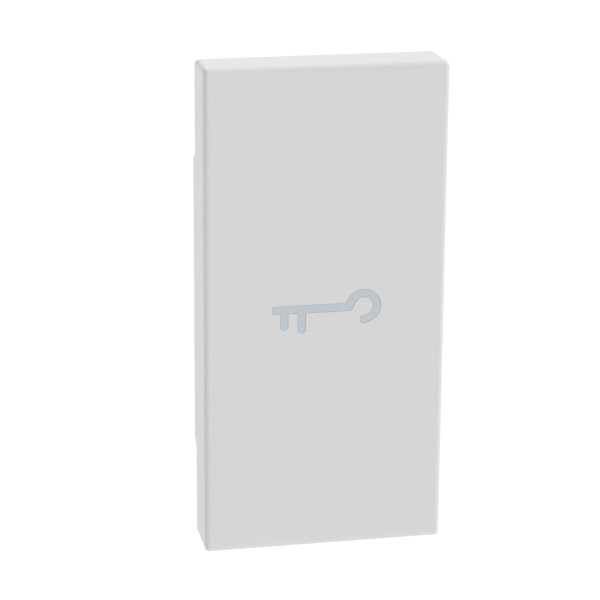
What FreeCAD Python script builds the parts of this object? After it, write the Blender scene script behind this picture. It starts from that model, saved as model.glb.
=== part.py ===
import FreeCAD, Part
import math
import os
import Sketcher

# One-module wireless smart dimmer: a white key cover with a key-shaped light on a slim insert
# that snaps into a support frame. Millimetres. X runs to the right, Z up, and the wall is toward +Y.
# The origin is in the middle of the seat, the plane where the flange lies on the support frame.

V = FreeCAD.Vector

# Driving dimensions: alias, size in mm (degrees or a count where the note says so), note
SIZES = (
    ("cover_width", 22.13, "key cover, left to right"),
    ("cover_height", 45, "key cover, bottom to top"),
    ("face_wall", 1.4, "thickness of the cover's face"),
    ("skirt_wall", 1.2, "thickness of the cover's skirts at their rear edge"),
    ("end_skirt", 5.1, "depth of the skirts near the top and the bottom"),
    ("middle_skirt", 6.0, "depth of the skirts over the middle section"),
    ("middle_length", 26.6, "length of the deeper middle section"),
    ("step_slope", 0.57, "length of the slope between the two skirt depths"),
    ("edge_round", 0.55, "radius around the front face"),
    ("corner_round", 0.45, "radius of the cover's four upright corners"),
    ("draft", 0.73, "degrees that the skirts lean inward toward the rear"),
    ("symbol_stroke", 0.74, "stroke of the key symbol"),
    ("symbol_rise", 0.375, "height of the symbol's shaft above the middle"),
    ("symbol_left", 4.93, "left end of the shaft from the middle"),
    ("outer_tooth", 3.82, "outer tooth from the middle"),
    ("inner_tooth", 2.21, "inner tooth from the middle"),
    ("outer_tooth_low", 1.51, "bottom of the outer tooth below the middle"),
    ("inner_tooth_low", 1.87, "bottom of the inner tooth below the middle"),
    ("ring_place", 3.48, "centre of the symbol's ring from the middle"),
    ("ring_radius", 1.22, "radius of the ring at the middle of its stroke"),
    ("neck_lean", 27, "degrees that the stroke between shaft and ring leans to the right"),
    ("symbol_fit", 0.03, "gap around the symbol insert"),
    ("symbol_depth", 0.8, "depth of the key-shaped window in the face"),
    ("symbol_plate_width", 11.6, "plate behind the symbol, left to right"),
    ("symbol_plate_height", 5.4, "plate behind the symbol, bottom to top"),
    ("guide_flange", 0.6, "thickness of the light guide's flange"),
    ("guide_margin", 0.5, "ledge that carries the light guide's flange"),
    ("guide_tip_width", 2.4, "light guide's tip, left to right"),
    ("guide_tip_height", 2.0, "light guide's tip, bottom to top"),
    ("guide_root_width", 4.4, "light guide's stem at the flange, left to right"),
    ("guide_root_height", 3.4, "light guide's stem at the flange, bottom to top"),
    ("lamp_gap", 0.2, "gap between the pressed light guide and the lamp"),
    ("key_travel", 0.8, "travel of the key"),
    ("skirt_gap", 0.3, "gap between the pressed skirt and the flange"),
    ("flange_wall", 1.4, "thickness of the flange"),
    ("flange_side_inset", 0.765, "flange behind the cover's edge, at each side"),
    ("flange_end_inset", 0.9, "flange behind the cover's edge, at each end"),
    ("seat_step", 0.3, "how far the tray's wall reaches behind the flange"),
    ("carrier_wall", 1.2, "thickness of the carrier's plate"),
    ("carrier_fit", 0.1, "gap between the carrier's plate and the skirts"),
    ("carrier_rim", 1.5, "width of the carrier's side rims"),
    ("carrier_window_start", 4.6, "lightening windows of the carrier, nearest the middle"),
    ("carrier_window_length", 7.0, "lightening windows of the carrier, along the key"),
    ("carrier_window_width", 3.6, "lightening windows of the carrier, across the key"),
    ("hook_place", 9.0, "cover hooks from the middle, along the key"),
    ("hook_length", 3.0, "cover hooks, along the key"),
    ("hook_reach", 0.5, "how far a cover hook stands out of the skirt"),
    ("hook_wall", 0.7, "thickness of a cover hook"),
    ("stop_gap", 0.2, "gap that is left under the pressed carrier"),
    ("tray_side_gap", 0.4, "gap between the skirts and the tray, at each side"),
    ("tray_end_gap", 0.9, "gap between the skirts and the tray, at each end"),
    ("tray_wall", 0.9, "wall of the tray and of the rear housing"),
    ("deck_wall", 0.9, "thickness of the deck"),
    ("bearing_lip", 0.4, "lip of a bearing over the wire"),
    ("wire_diameter", 0.8, "stabiliser wire"),
    ("wire_fit", 0.04, "radial clearance of the wire in its bearings"),
    ("wire_gap", 0.05, "gap between the wire and the deck"),
    ("wire_place", 6.8, "axis of the wire, left of the middle"),
    ("wire_arm", 8.0, "arm of the wire, from its axis to its tip"),
    ("wire_bend", 0.8, "bend radius at the middle of the wire"),
    ("bearing_length", 2.2, "length of a wire bearing"),
    ("bearing_wall", 0.7, "wall of a wire bearing beside its bore"),
    ("bearing_mouth", 0.6, "snap-in mouth of a wire bearing"),
    ("bearing_gap", 2.1, "gap between a bearing and the wire's bend"),
    ("arm_room", 0.1, "room beside the wire's arms in the deck"),
    ("lug_gap", 0.3, "gap between a lug and the wire's arm"),
    ("lug_length", 1.2, "lug that holds a tip, along the key"),
    ("lug_width", 3.0, "lug that holds a tip, across the key"),
    ("lug_fit", 0.05, "gap above and below a tip in its lug"),
    ("lug_side_room", 0.15, "gap beside a tip in its lug"),
    ("lug_wall", 0.5, "wall of a lug behind the tip"),
    ("lug_room", 0.2, "gap around a lug in the deck"),
    ("tip_stand", 0.05, "how far a tip stands out of its lug"),
    ("lug_cup_wall", 0.9, "deck between a lug's opening and a spring cup"),
    ("spring_diameter", 3.6, "return springs, outside"),
    ("spring_wire", 0.35, "wire of the return springs"),
    ("spring_turns", 3, "turns of a return spring, a count"),
    ("spring_pin_gap", 0.25, "gap between a spring and its pin"),
    ("spring_pin_height", 0.9, "height of a spring pin"),
    ("cup_gap", 0.2, "gap around a spring in its cup"),
    ("cup_floor", 0.4, "floor of a spring cup"),
    ("cup_end_wall", 0.82, "deck between a spring cup and the tray's end"),
    ("leg_place", 4.2, "guide legs from the middle, across the key"),
    ("leg_width", 2.2, "guide leg, across the key"),
    ("leg_wall", 1.0, "guide leg, along the key"),
    ("leg_fit", 0.08, "gap between a guide leg and its sleeve"),
    ("leg_flex", 0.7, "room for a guide leg to bend inward"),
    ("sleeve_wall", 0.6, "wall of a leg sleeve"),
    ("barb_height", 0.5, "barb of a guide leg, along its travel"),
    ("barb_reach", 0.6, "how far a barb stands out of its leg"),
    ("barb_gap", 0.05, "gap between a barb and its stop"),
    ("barb_stop", 0.4, "end wall left in front of a barb window"),
    ("barb_room", 0.3, "room beside and behind a barb in its window"),
    ("board_gap", 0.25, "gap between the deck and the board"),
    ("board_wall", 1.0, "thickness of the circuit board"),
    ("board_side_gap", 0.1, "gap beside the circuit board"),
    ("board_end_gap", 0.2, "gap between the board's ends and the guide legs"),
    ("screw_side_wall", 0.59, "board beside a case screw's hole, at each side"),
    ("screw_end_wall", 0.64, "board beside a case screw's hole, at each end"),
    ("screw_radius", 0.6, "thread of a case screw"),
    ("screw_head_radius", 1.05, "head of a case screw"),
    ("screw_head_height", 0.7, "height of a case screw's head"),
    ("screw_sink", 1.2, "depth of the screw heads' counterbores"),
    ("screw_fit", 0.02, "radial gap of a case screw in the front frame"),
    ("screw_play", 0.2, "radial gap of a case screw and its head elsewhere"),
    ("screw_tip_gap", 0.2, "gap in front of a case screw's tip"),
    ("boss_radius", 1.3, "screw bosses"),
    ("boss_end_wall", 0.5, "wall in front of a case screw's tip"),
    ("switch_width", 6.2, "switch, square outline"),
    ("switch_rim", 0.5, "thinnest side wall of a switch"),
    ("switch_floor", 0.35, "floor of a switch"),
    ("switch_cover_wall", 0.2, "metal cover of a switch"),
    ("switch_room", 0.4, "gap around a switch in the deck"),
    ("switch_arm_gap", 1.0, "gap between a switch and the wire's arm"),
    ("pusher_height", 0.25, "height of the carrier's pushers"),
    ("pusher_radius", 1.9, "radius of the carrier's pushers"),
    ("plunger_radius", 1.6, "plunger of a switch"),
    ("plunger_fit", 0.08, "radial clearance of a plunger"),
    ("plunger_stand", 0.25, "how far a pressed plunger still stands out"),
    ("collar_radius", 2.2, "collar of a plunger"),
    ("collar_wall", 0.4, "collar of a plunger, along its travel"),
    ("collar_gap", 0.05, "gap between a plunger's collar and its cover"),
    ("dome_top_radius", 1.3, "top of a switch's dome"),
    ("dome_wall", 0.3, "wall of a switch's dome"),
    ("dome_side_gap", 0.2, "gap around a dome in its switch"),
    ("terminal_wall", 0.2, "sheet of the switch terminals"),
    ("terminal_width", 0.7, "width of a switch terminal"),
    ("terminal_foot", 1.1, "foot of a switch terminal"),
    ("terminal_rise", 0.8, "height of a switch terminal"),
    ("terminal_pitch", 4.5, "pitch of the terminals along the key"),
    ("lamp_width", 2.0, "status light, left to right"),
    ("lamp_length", 1.25, "status light, bottom to top"),
    ("lamp_height", 0.8, "height of the status light"),
    ("lamp_base", 0.35, "base of the status light"),
    ("shroud_wall", 0.6, "wall of the shroud around the light"),
    ("shroud_gap", 0.3, "gap between the light guide and the shroud"),
    ("cell_height", 3.2, "coin cell"),
    ("cell_cap_inset", 1.0, "negative cap of the cell, inside its rim"),
    ("cell_cap_step", 0.3, "height of the cell's negative cap"),
    ("cell_side_gap", 0.489, "gap between the cell and the housing's side walls"),
    ("cell_low_gap", 2.104, "gap between the cell and the housing's lower end wall"),
    ("cell_end_gap", 0.4, "gap between the cell and its door"),
    ("contact_wall", 0.2, "sheet of the battery contacts"),
    ("contact_height", 0.9, "room for the negative contact"),
    ("contact_width", 3.0, "width of the negative contact"),
    ("contact_length", 11.0, "length of the negative contact"),
    ("contact_foot", 2.2, "each foot of the negative contact"),
    ("blade_width", 5.0, "width of the positive contact"),
    ("blade_gap", 0.05, "gap between the positive contact and the cell"),
    ("blade_foot", 1.1, "foot of the positive contact"),
    ("blade_short", 0.5, "positive contact short of the cell's rear face"),
    ("back_wall", 1.0, "rear wall of the housing"),
    ("door_wall", 1.4, "battery door"),
    ("door_fit", 0.1, "radial gap around the battery door"),
    ("door_turn", 50, "degrees from locked to free"),
    ("lug_out", 0.45, "how far the door's lugs stand out of its rim"),
    ("door_lug_width", 4.8, "width of the door's lugs"),
    ("door_lug_gap", 0.1, "gap between the door's lugs and the rear wall"),
    ("door_lug_wall", 0.6, "thickness of the door's lugs"),
    ("notch_room", 0.15, "room around the door's lugs in their notches"),
    ("coin_slot_length", 10.0, "coin slot"),
    ("coin_slot_width", 1.7, "coin slot"),
    ("coin_slot_depth", 0.8, "coin slot"),
    ("mark_radius", 0.4, "round marks beside the door and on it"),
    ("mark_depth", 0.2, "depth of the round marks"),
    ("housing_end_step", 0.32, "rear housing shorter than the tray, at each end"),
    ("housing_round", 0.8, "radius of the rear housing's upright corners"),
    ("partition_wall", 0.7, "partition between the cell and the radio"),
    ("partition_gap", 1.3, "partition above the cell's rim"),
    ("frame_sheet", 1.6, "thickness of the support frame that is clipped"),
    ("snap_gap", 0.1, "gap between the snap hooks and the support frame"),
    ("snap_height", 1.3, "snap hooks, along the depth"),
    ("snap_reach", 0.75, "how far a snap hook stands out"),
    ("snap_width", 6.0, "width of the snap tongues"),
    ("snap_slit", 0.6, "slits beside the snap tongues"),
    ("snap_root", 0.5, "depth of the housing's wall in front of the slits"),
    ("snap_window", 0.15, "gap around a hook in the flange's window in front of it"),
    ("part_gap", 0.3, "gap between neighbours in the column of small parts"),
    ("radio_wall", 0.8, "thickness of the radio board"),
    ("radio_edge", 0.79, "radio board inside the circuit board's right edge"),
    ("radio_gap", 0.6, "gap between the radio board and the controller chip"),
    ("radio_low_gap", 0.7, "gap between the radio board and the partition"),
    ("radio_high_gap", 1.2, "gap between the radio board and the pairing switch"),
    ("shield_margin", 1.0, "radio board beside the shield can, at each side"),
    ("shield_low_margin", 0.5, "radio board below the shield can"),
    ("aerial_length", 2.9, "bare radio board above the shield can, for its aerial"),
    ("shield_height", 1.7, "shield can"),
    ("shield_wall", 0.2, "sheet of the shield can"),
    ("chip_width", 3.0, "controller chip, square outline"),
    ("chip_height", 0.85, "controller chip"),
    ("chip_edge", 0.39, "controller chip inside the circuit board's left edge"),
    ("crystal_width", 2.0, "crystal, left to right"),
    ("crystal_length", 2.5, "crystal, bottom to top"),
    ("crystal_height", 0.6, "crystal"),
    ("small_length", 1.6, "capacitors and resistors, long side"),
    ("small_width", 0.8, "capacitors and resistors, short side"),
    ("small_height", 0.7, "capacitors and resistors"),
    ("small_step", 1.3, "step from one small part to the next"),
    ("small_count", 3, "small parts in the column, a count"),
    ("pairing_end_gap", 2.2, "gap between the pairing switch and the housing's upper end wall"),
    ("pairing_width", 4.0, "pairing switch, left to right"),
    ("pairing_length", 3.0, "pairing switch, bottom to top"),
    ("pairing_height", 1.3, "pairing switch"),
    ("pairing_travel", 0.3, "travel of the pairing button"),
    ("pairing_pin_radius", 0.8, "plunger of the pairing switch"),
    ("pairing_pin_stand", 0.2, "how far its pressed plunger still stands out"),
    ("pairing_pin_room", 0.1, "room in front of its pressed plunger"),
    ("pairing_radius", 1.4, "pairing button"),
    ("pairing_fit", 0.1, "radial gap around the pairing button"),
    ("pairing_sink", 0.2, "pairing button below the rear face"),
    ("pairing_collar", 0.5, "collar of the pairing button, radially"),
    ("pairing_collar_wall", 0.6, "collar of the pairing button, along its travel"),
)

# Places that follow from the sizes. Depths are the Y of a plane, so the front face is the most negative.
PLACES = (
    ("face_front", "-(size.middle_skirt + size.key_travel + size.skirt_gap + size.flange_wall)"),
    ("face_rear", "face_front + size.face_wall"),
    ("symbol_shoulder", "face_front + size.symbol_depth"),
    ("end_skirt_rear", "face_front + size.end_skirt"),
    ("middle_skirt_rear", "face_front + size.middle_skirt"),
    ("carrier_rear", "face_rear + size.carrier_wall"),
    ("guide_ledge", "face_rear + size.guide_flange"),
    ("sleeve_front", "carrier_rear + size.key_travel + size.stop_gap"),
    ("wire_depth", "sleeve_front + size.bearing_lip + size.wire_diameter / 2"),
    ("deck_front", "wire_depth + size.wire_diameter / 2 + size.wire_gap"),
    ("deck_rear", "deck_front + size.deck_wall"),
    ("cup_rear", "deck_rear - size.cup_floor"),
    ("board_front", "deck_rear + size.board_gap"),
    ("board_rear", "board_front + size.board_wall"),
    ("flange_front", "-size.flange_wall"),
    ("cell_front", "board_rear + size.contact_height"),
    ("cell_rear", "cell_front + size.cell_height"),
    ("door_front", "cell_rear + size.cell_end_gap"),
    ("back_outer", "door_front + size.door_wall"),
    ("back_inner", "back_outer - size.back_wall"),
    ("head_seat", "back_outer - size.screw_sink"),
    ("screw_tip", "sleeve_front + size.boss_end_wall + size.screw_tip_gap"),
    ("lamp_front", "board_front - size.lamp_height"),
    ("guide_tip", "lamp_front - size.lamp_gap - size.key_travel"),
    ("plunger_front", "carrier_rear + size.pusher_height"),
    ("switch_front", "plunger_front + size.key_travel + size.plunger_stand"),
    ("switch_open", "switch_front + size.switch_cover_wall"),
    ("switch_bottom", "board_front - size.switch_floor"),
    ("collar_front", "switch_open + size.collar_gap"),
    ("collar_rear", "collar_front + size.collar_wall"),
    ("snap_front", "size.frame_sheet + size.snap_gap"),
    ("snap_rear", "snap_front + size.snap_height"),
    ("barb_front", "deck_front + size.barb_stop + size.barb_gap"),
    ("barb_rear", "barb_front + size.barb_height"),
    ("draft_loss", "size.middle_skirt * tan(size.draft * 1deg)"),
    ("cover_half_width", "size.cover_width / 2"),
    ("cover_half_height", "size.cover_height / 2"),
    ("inner_half_width", "cover_half_width - draft_loss - size.skirt_wall"),
    ("inner_half_height", "cover_half_height - draft_loss - size.skirt_wall"),
    ("tray_half_width", "inner_half_width - size.tray_side_gap"),
    ("tray_half_height", "inner_half_height - size.tray_end_gap"),
    ("room_half_width", "tray_half_width - size.tray_wall"),
    ("room_half_height", "tray_half_height - size.tray_wall"),
    ("leg_outer", "room_half_height - size.leg_fit"),
    ("leg_inner", "leg_outer - size.leg_wall"),
    ("board_half_width", "room_half_width - size.board_side_gap"),
    ("board_half_height", "leg_inner - size.board_end_gap"),
    ("rear_half_height", "tray_half_height - size.housing_end_step"),
    ("rear_room_height", "rear_half_height - size.tray_wall"),
    ("cell_radius", "room_half_width - size.cell_side_gap"),
    ("cell_low", "rear_room_height - size.cell_low_gap - cell_radius"),
    ("door_radius", "cell_radius + 1.5 * size.door_fit"),
    ("well_radius", "door_radius + size.door_fit"),
    ("stroke_half", "size.symbol_stroke / 2"),
    ("cup_radius", "size.spring_diameter / 2 + size.cup_gap"),
    ("spring_place", "tray_half_height - size.cup_end_wall - cup_radius"),
    ("lug_end", "spring_place - cup_radius - size.lug_cup_wall - size.lug_room"),
    ("lug_start", "lug_end - size.lug_length"),
    ("wire_reach", "lug_start - size.lug_gap - size.wire_diameter / 2"),
    ("tip_place", "size.wire_arm - size.wire_place"),
    ("tip_end", "lug_end + size.tip_stand"),
    ("swing_half", "asin(size.key_travel / 2 / size.wire_arm) / 1deg"),
    ("tip_depth", "wire_depth - size.key_travel / 2"),
    ("lug_half_gap", "size.wire_diameter / 2 + size.lug_fit"),
    ("lug_rear", "tip_depth + lug_half_gap + size.lug_wall"),
    ("bearing_half", "size.wire_diameter / 2 + size.wire_fit + size.bearing_wall"),
    ("bearing_place", "wire_reach - size.wire_bend - size.bearing_gap - size.bearing_length / 2"),
    ("switch_inner", "wire_reach - size.wire_diameter / 2 - size.switch_arm_gap - size.switch_width"),
    ("switch_place", "switch_inner + size.switch_width / 2"),
    ("screw_side", "board_half_width - size.screw_side_wall - size.screw_play - size.screw_radius"),
    ("screw_reach", "board_half_height - size.screw_end_wall - size.screw_play - size.screw_radius"),
    ("partition_low", "cell_radius - cell_low + size.partition_gap"),
    ("partition_high", "partition_low + size.partition_wall"),
    ("pairing_rise", "rear_room_height - size.pairing_end_gap - size.pairing_length / 2"),
    ("chip_side", "board_half_width - size.chip_edge - size.chip_width / 2"),
    ("chip_rise", "partition_high + size.part_gap + size.chip_width / 2"),
    ("crystal_low", "chip_rise + size.chip_width / 2 + size.part_gap"),
    ("crystal_rise", "crystal_low + size.crystal_length / 2"),
    ("small_rise", "crystal_low + size.crystal_length + size.part_gap + size.small_width / 2"),
    ("radio_left", "size.radio_gap + size.chip_width / 2 - chip_side"),
    ("radio_right", "board_half_width - size.radio_edge"),
    ("radio_low", "partition_high + size.radio_low_gap"),
    ("radio_high", "pairing_rise - size.pairing_length / 2 - size.radio_high_gap"),
    ("cavity_radius", "size.switch_width / 2 - size.switch_rim"),
    ("dome_radius", "cavity_radius - size.dome_side_gap"),
    ("pairing_front", "board_rear + size.pairing_height"),
    ("pairing_pin_rear", "pairing_front + size.pairing_travel + size.pairing_pin_stand"),
)

doc = FreeCAD.newDocument("SmartDimmerSwitch")
size = doc.addObject("Spreadsheet::Sheet", "size")
for row, (alias, amount, note) in enumerate(SIZES, start=1):
    size.set(f"A{row}", str(amount))
    size.setAlias(f"A{row}", alias)
    size.set(f"B{row}", note)
doc.recompute()

at = doc.addObject("App::VarSet", "at")
for place, formula in PLACES:
    at.addProperty("App::PropertyFloat", place, "Places")
    at.setExpression(place, formula)
doc.recompute()

subparts = []
removals = []


# Formulas


def both(half):
    """The stretch from minus a half to plus a half."""
    return f"-({half})", f"{half}"


def around(centre, length):
    """The stretch of a given length around a centre."""
    return f"{centre} - ({length}) / 2", f"{centre} + ({length}) / 2"


def signed(side, formula):
    """The formula, or its opposite where side is negative."""
    return formula if side > 0 else f"-({formula})"


def ordered(side, near, far):
    """The stretch from near to far on the positive side, or its mirror image."""
    return (near, far) if side > 0 else (f"-({far})", f"-({near})")


def screw_circles(radius):
    """One round outline at each of the four case screws."""
    return [
        circle(signed(side, "at.screw_side"), signed(end, "at.screw_reach"), radius)
        for side in (1, -1)
        for end in (1, -1)
    ]


def evaluate(formula):
    """The present value of a formula, in mm or degrees."""
    return float(size.evalExpression(str(formula)))


def turned(u, v):
    """The point u right of and v above the cell's centre, moved as the door turns from locked to free."""
    turn = "size.door_turn * 1deg"
    x = f"({u}) * cos({turn}) + ({v}) * sin({turn})"
    z = f"({v}) * cos({turn}) - ({u}) * sin({turn}) - at.cell_low"
    return x, z


# Solids made as features of a body


def new_body(name):
    """An empty body that is a sub-part, or the stock of one."""
    body = doc.addObject("PartDesign::Body", name)
    body.Label = name
    return body


def polygon(*points):
    """An outline through the points, each an (across, up) pair of formulas."""

    def draw(sketch):
        first = sketch.GeometryCount
        corners = [V(evaluate(across), evaluate(up), 0) for across, up in points]
        for i, corner in enumerate(corners):
            sketch.addGeometry(Part.LineSegment(corner, corners[(i + 1) % len(corners)]), False)
        for i, (across, up) in enumerate(points):
            edge = first + i
            following = first + (i + 1) % len(points)
            sketch.addConstraint(Sketcher.Constraint("Coincident", edge, 2, following, 1))
            for way, name, formula, value in (
                ("DistanceX", f"across{edge}", across, corners[i].x),
                ("DistanceY", f"up{edge}", up, corners[i].y),
            ):
                index = sketch.addConstraint(Sketcher.Constraint(way, -1, 1, edge, 1, value))
                sketch.renameConstraint(index, name)
                sketch.setExpression(f"Constraints.{name}", formula)

    return draw


def rectangle(across, up):
    """A rectangular outline over two stretches."""
    left, right = across
    bottom, top = up
    return polygon((left, bottom), (right, bottom), (right, top), (left, top))


def circle(across, up, radius):
    """A round outline."""

    def draw(sketch):
        centre = V(evaluate(across), evaluate(up), 0)
        edge = sketch.addGeometry(Part.Circle(centre, V(0, 0, 1), evaluate(radius)), False)
        for name, formula, constraint in (
            (f"radius{edge}", radius, Sketcher.Constraint("Radius", edge, evaluate(radius))),
            (f"across{edge}", across, Sketcher.Constraint("DistanceX", -1, 1, edge, 3, centre.x)),
            (f"up{edge}", up, Sketcher.Constraint("DistanceY", -1, 1, edge, 3, centre.y)),
        ):
            index = sketch.addConstraint(constraint)
            sketch.renameConstraint(index, name)
            sketch.setExpression(f"Constraints.{name}", formula)

    return draw


def new_sketch(body, role, offset, outlines):
    """A sketch on one of the body's origin planes, moved along the plane's normal by offset."""
    sketch = body.newObject("Sketcher::SketchObject", f"{body.Name}_sketch")
    plane = next(f for f in body.Origin.OriginFeatures if f.Role == role)
    sketch.AttachmentSupport = [(plane, "")]
    sketch.MapMode = "FlatFace"
    sketch.setExpression("AttachmentOffset.Base.z", offset)
    for draw in outlines:
        draw(sketch)
    return sketch


def pad(body, depth, *outlines, taper=None):
    """Adds outlines seen from the front (X across, Z up) between two planes of Y."""
    front, rear = depth
    sketch = new_sketch(body, "XZ_Plane", f"-({front})", outlines)
    feature = body.newObject("PartDesign::Pad", f"{body.Name}_pad")
    feature.Profile = sketch
    feature.Reversed = True
    feature.setExpression("Length", f"({rear}) - ({front})")
    if taper:
        feature.setExpression("TaperAngle", taper)


def pocket(body, depth, *outlines):
    """Takes away outlines seen from the front between two planes of Y."""
    front, rear = depth
    sketch = new_sketch(body, "XZ_Plane", f"-({front})", outlines)
    feature = body.newObject("PartDesign::Pocket", f"{body.Name}_pocket")
    feature.Profile = sketch
    feature.setExpression("Length", f"({rear}) - ({front})")
    removals.append(feature)


def pocket_across(body, role, centre, length, *outlines):
    """Takes away outlines seen along X (YZ_Plane) or Z (XY_Plane), to both sides of a centre."""
    sketch = new_sketch(body, role, centre, outlines)
    feature = body.newObject("PartDesign::Pocket", f"{body.Name}_cross")
    feature.Profile = sketch
    feature.SideType = "Symmetric"
    feature.setExpression("Length", length)
    removals.append(feature)


def pad_across(body, centre, length, *outlines):
    """Adds outlines seen along X (Y across, Z up), equally to both sides of a centre."""
    sketch = new_sketch(body, "YZ_Plane", centre, outlines)
    feature = body.newObject("PartDesign::Pad", f"{body.Name}_cross")
    feature.Profile = sketch
    feature.SideType = "Symmetric"
    feature.setExpression("Length", length)


def fillet(body, radius, chosen):
    """Rounds those edges of the body for which chosen(start, end) is true."""
    doc.recompute()
    base = body.Tip
    names = []
    for number, edge in enumerate(base.Shape.Edges, start=1):
        if len(edge.Vertexes) == 2 and chosen(edge.Vertexes[0].Point, edge.Vertexes[1].Point):
            names.append(f"Edge{number}")
    feature = body.newObject("PartDesign::Fillet", f"{body.Name}_fillet")
    feature.Base = (base, names)
    feature.setExpression("Radius", radius)


def near(value, formula):
    """Whether a coordinate lies on a plane, a hundredth of a millimetre either way."""
    return abs(value - evaluate(formula)) < 0.01


# Solids made of plain shapes

ALONG_Y = FreeCAD.Rotation(V(1, 0, 0), -90)


def block(name, across, depth, up):
    """A box over three stretches, along X, Y and Z."""
    box = doc.addObject("Part::Box", name)
    for stretch, length, place in ((across, "Length", "x"), (depth, "Width", "y"), (up, "Height", "z")):
        low, high = stretch
        box.setExpression(length, f"({high}) - ({low})")
        box.setExpression(f"Placement.Base.{place}", low)
    return box


def rod(name, across, up, depth, radius):
    """A round bar between two planes of Y."""
    front, rear = depth
    bar = doc.addObject("Part::Cylinder", name)
    bar.Placement.Rotation = ALONG_Y
    bar.setExpression("Radius", radius)
    bar.setExpression("Height", f"({rear}) - ({front})")
    bar.setExpression("Placement.Base.x", across)
    bar.setExpression("Placement.Base.y", front)
    bar.setExpression("Placement.Base.z", up)
    return bar


def fuse(name, *pieces):
    """One solid of several that meet."""
    whole = doc.addObject("Part::MultiFuse", name)
    whole.Shapes = list(pieces)
    return whole


def cut(name, base, *tools):
    """A solid less one or more others."""
    result = doc.addObject("Part::Cut", name)
    result.Base = base
    result.Tool = tools[0] if len(tools) == 1 else fuse(f"{name}_tools", *tools)
    return result


def group(name, *pieces):
    """Separate solids that share a node."""
    whole = doc.addObject("Part::Compound", name)
    whole.Links = list(pieces)
    return whole


def subpart(piece, label):
    """Names a finished sub-part after its file."""
    piece.Label = label
    subparts.append(piece)
    return piece


# Key cover, its symbol and the light guide


def key_figure(name, depth, shrink):
    """A key: a shaft with two teeth and an open ring, its outline drawn in by shrink all round."""
    half = f"(at.stroke_half - ({shrink}))"
    lean = "size.neck_lean * 1deg"
    inside = f"(size.ring_radius - {half})"
    neck_length = f"({inside} * sin({lean}) + {half}) / cos({lean})"
    shaft_end = f"size.ring_place - {inside} * cos({lean}) - {neck_length} * sin({lean})"
    shaft = block(
        f"{name}_shaft",
        (f"-(size.symbol_left - ({shrink}))", shaft_end),
        depth,
        around("size.symbol_rise", f"2 * {half}"),
    )
    pieces = [shaft]
    for tooth in ("outer_tooth", "inner_tooth"):
        low = f"at.stroke_half - size.{tooth}_low"
        across = around(f"-size.{tooth}", f"2 * {half}")
        pieces.append(block(f"{name}_{tooth}", across, depth, (low, "size.symbol_rise")))
        pieces.append(rod(f"{name}_{tooth}_end", f"-size.{tooth}", low, depth, half))
    neck_left = f"{shaft_end} - 2 * {half} * cos({lean})"
    neck_low = f"size.symbol_rise - {half} + 2 * {half} * sin({lean})"
    neck = block(
        f"{name}_neck",
        (neck_left, f"{neck_left} + 2 * {half}"),
        depth,
        (neck_low, f"{neck_low} + {neck_length}"),
    )
    neck.Placement.Rotation = FreeCAD.Rotation(V(0, 1, 0), evaluate("size.neck_lean"))
    pieces.append(neck)
    ring = rod(f"{name}_ring", "size.ring_place", "size.symbol_rise", depth, f"size.ring_radius + {half}")
    turn = 180 + evaluate("size.neck_lean")
    ring.Placement.Rotation = ALONG_Y.multiply(FreeCAD.Rotation(V(0, 0, 1), turn))
    ring.setExpression("Angle", "270 - size.neck_lean")
    bore = rod(f"{name}_bore", "size.ring_place", "size.symbol_rise", depth, inside)
    pieces.append(cut(f"{name}_open_ring", ring, bore))
    ring_low = "size.symbol_rise - size.ring_radius"
    pieces.append(rod(f"{name}_ring_end", "size.ring_place", ring_low, depth, half))
    return fuse(name, *pieces)


def make_key_cover():
    """The moulded cover: a face, drafted skirts that are deeper in the middle, and four hooks inside."""
    shell = new_body("cover_shell")
    outer = rectangle(both("at.cover_half_width"), both("at.cover_half_height"))
    pad(shell, ("at.face_front", "at.middle_skirt_rear"), outer, taper="-size.draft")
    fillet(shell, "size.corner_round", lambda a, b: abs(a.y - b.y) > evaluate("size.face_wall"))
    inner = rectangle(both("at.inner_half_width"), both("at.inner_half_height"))
    pocket(shell, ("at.face_rear", "at.middle_skirt_rear"), inner)
    for side in (1, -1):
        step_start = signed(side, "size.middle_length / 2")
        step_end = signed(side, "size.middle_length / 2 + size.step_slope")
        beyond = signed(side, "size.cover_height")
        slope = polygon(
            ("at.end_skirt_rear", step_end),
            ("at.middle_skirt_rear", step_start),
            ("at.middle_skirt_rear + size.skirt_wall", step_start),
            ("at.middle_skirt_rear + size.skirt_wall", beyond),
            ("at.end_skirt_rear", beyond),
        )
        pocket_across(shell, "YZ_Plane", "0", "2 * size.cover_width", slope)
    plate = rectangle(both("size.symbol_plate_width / 2"), both("size.symbol_plate_height / 2"))
    pocket(shell, ("at.symbol_shoulder", "at.face_rear"), plate)
    for side in (1, -1):
        for end in (1, -1):
            root = "at.inner_half_width + size.skirt_wall / 2"
            across = ordered(side, "at.inner_half_width - size.hook_reach", root)
            up = around(signed(end, "size.hook_place"), "size.hook_length")
            pad(shell, ("at.carrier_rear", "at.carrier_rear + size.hook_wall"), rectangle(across, up))
    fillet(shell, "size.edge_round", lambda a, b: near(a.y, "at.face_front") and near(b.y, "at.face_front"))
    window = key_figure("key_window", ("at.face_front", "at.symbol_shoulder"), "0")
    return subpart(cut("cover", shell, window), "key_cover")


def make_key_symbol():
    """The translucent insert: a plate behind the face and the key that fills the window."""
    plate = block(
        "symbol_plate",
        both("size.symbol_plate_width / 2 - size.symbol_fit"),
        ("at.symbol_shoulder", "at.face_rear"),
        both("size.symbol_plate_height / 2 - size.symbol_fit"),
    )
    figure = key_figure("symbol_key", ("at.face_front", "at.symbol_shoulder"), "size.symbol_fit")
    return subpart(fuse("symbol", plate, figure), "key_symbol")


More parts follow.
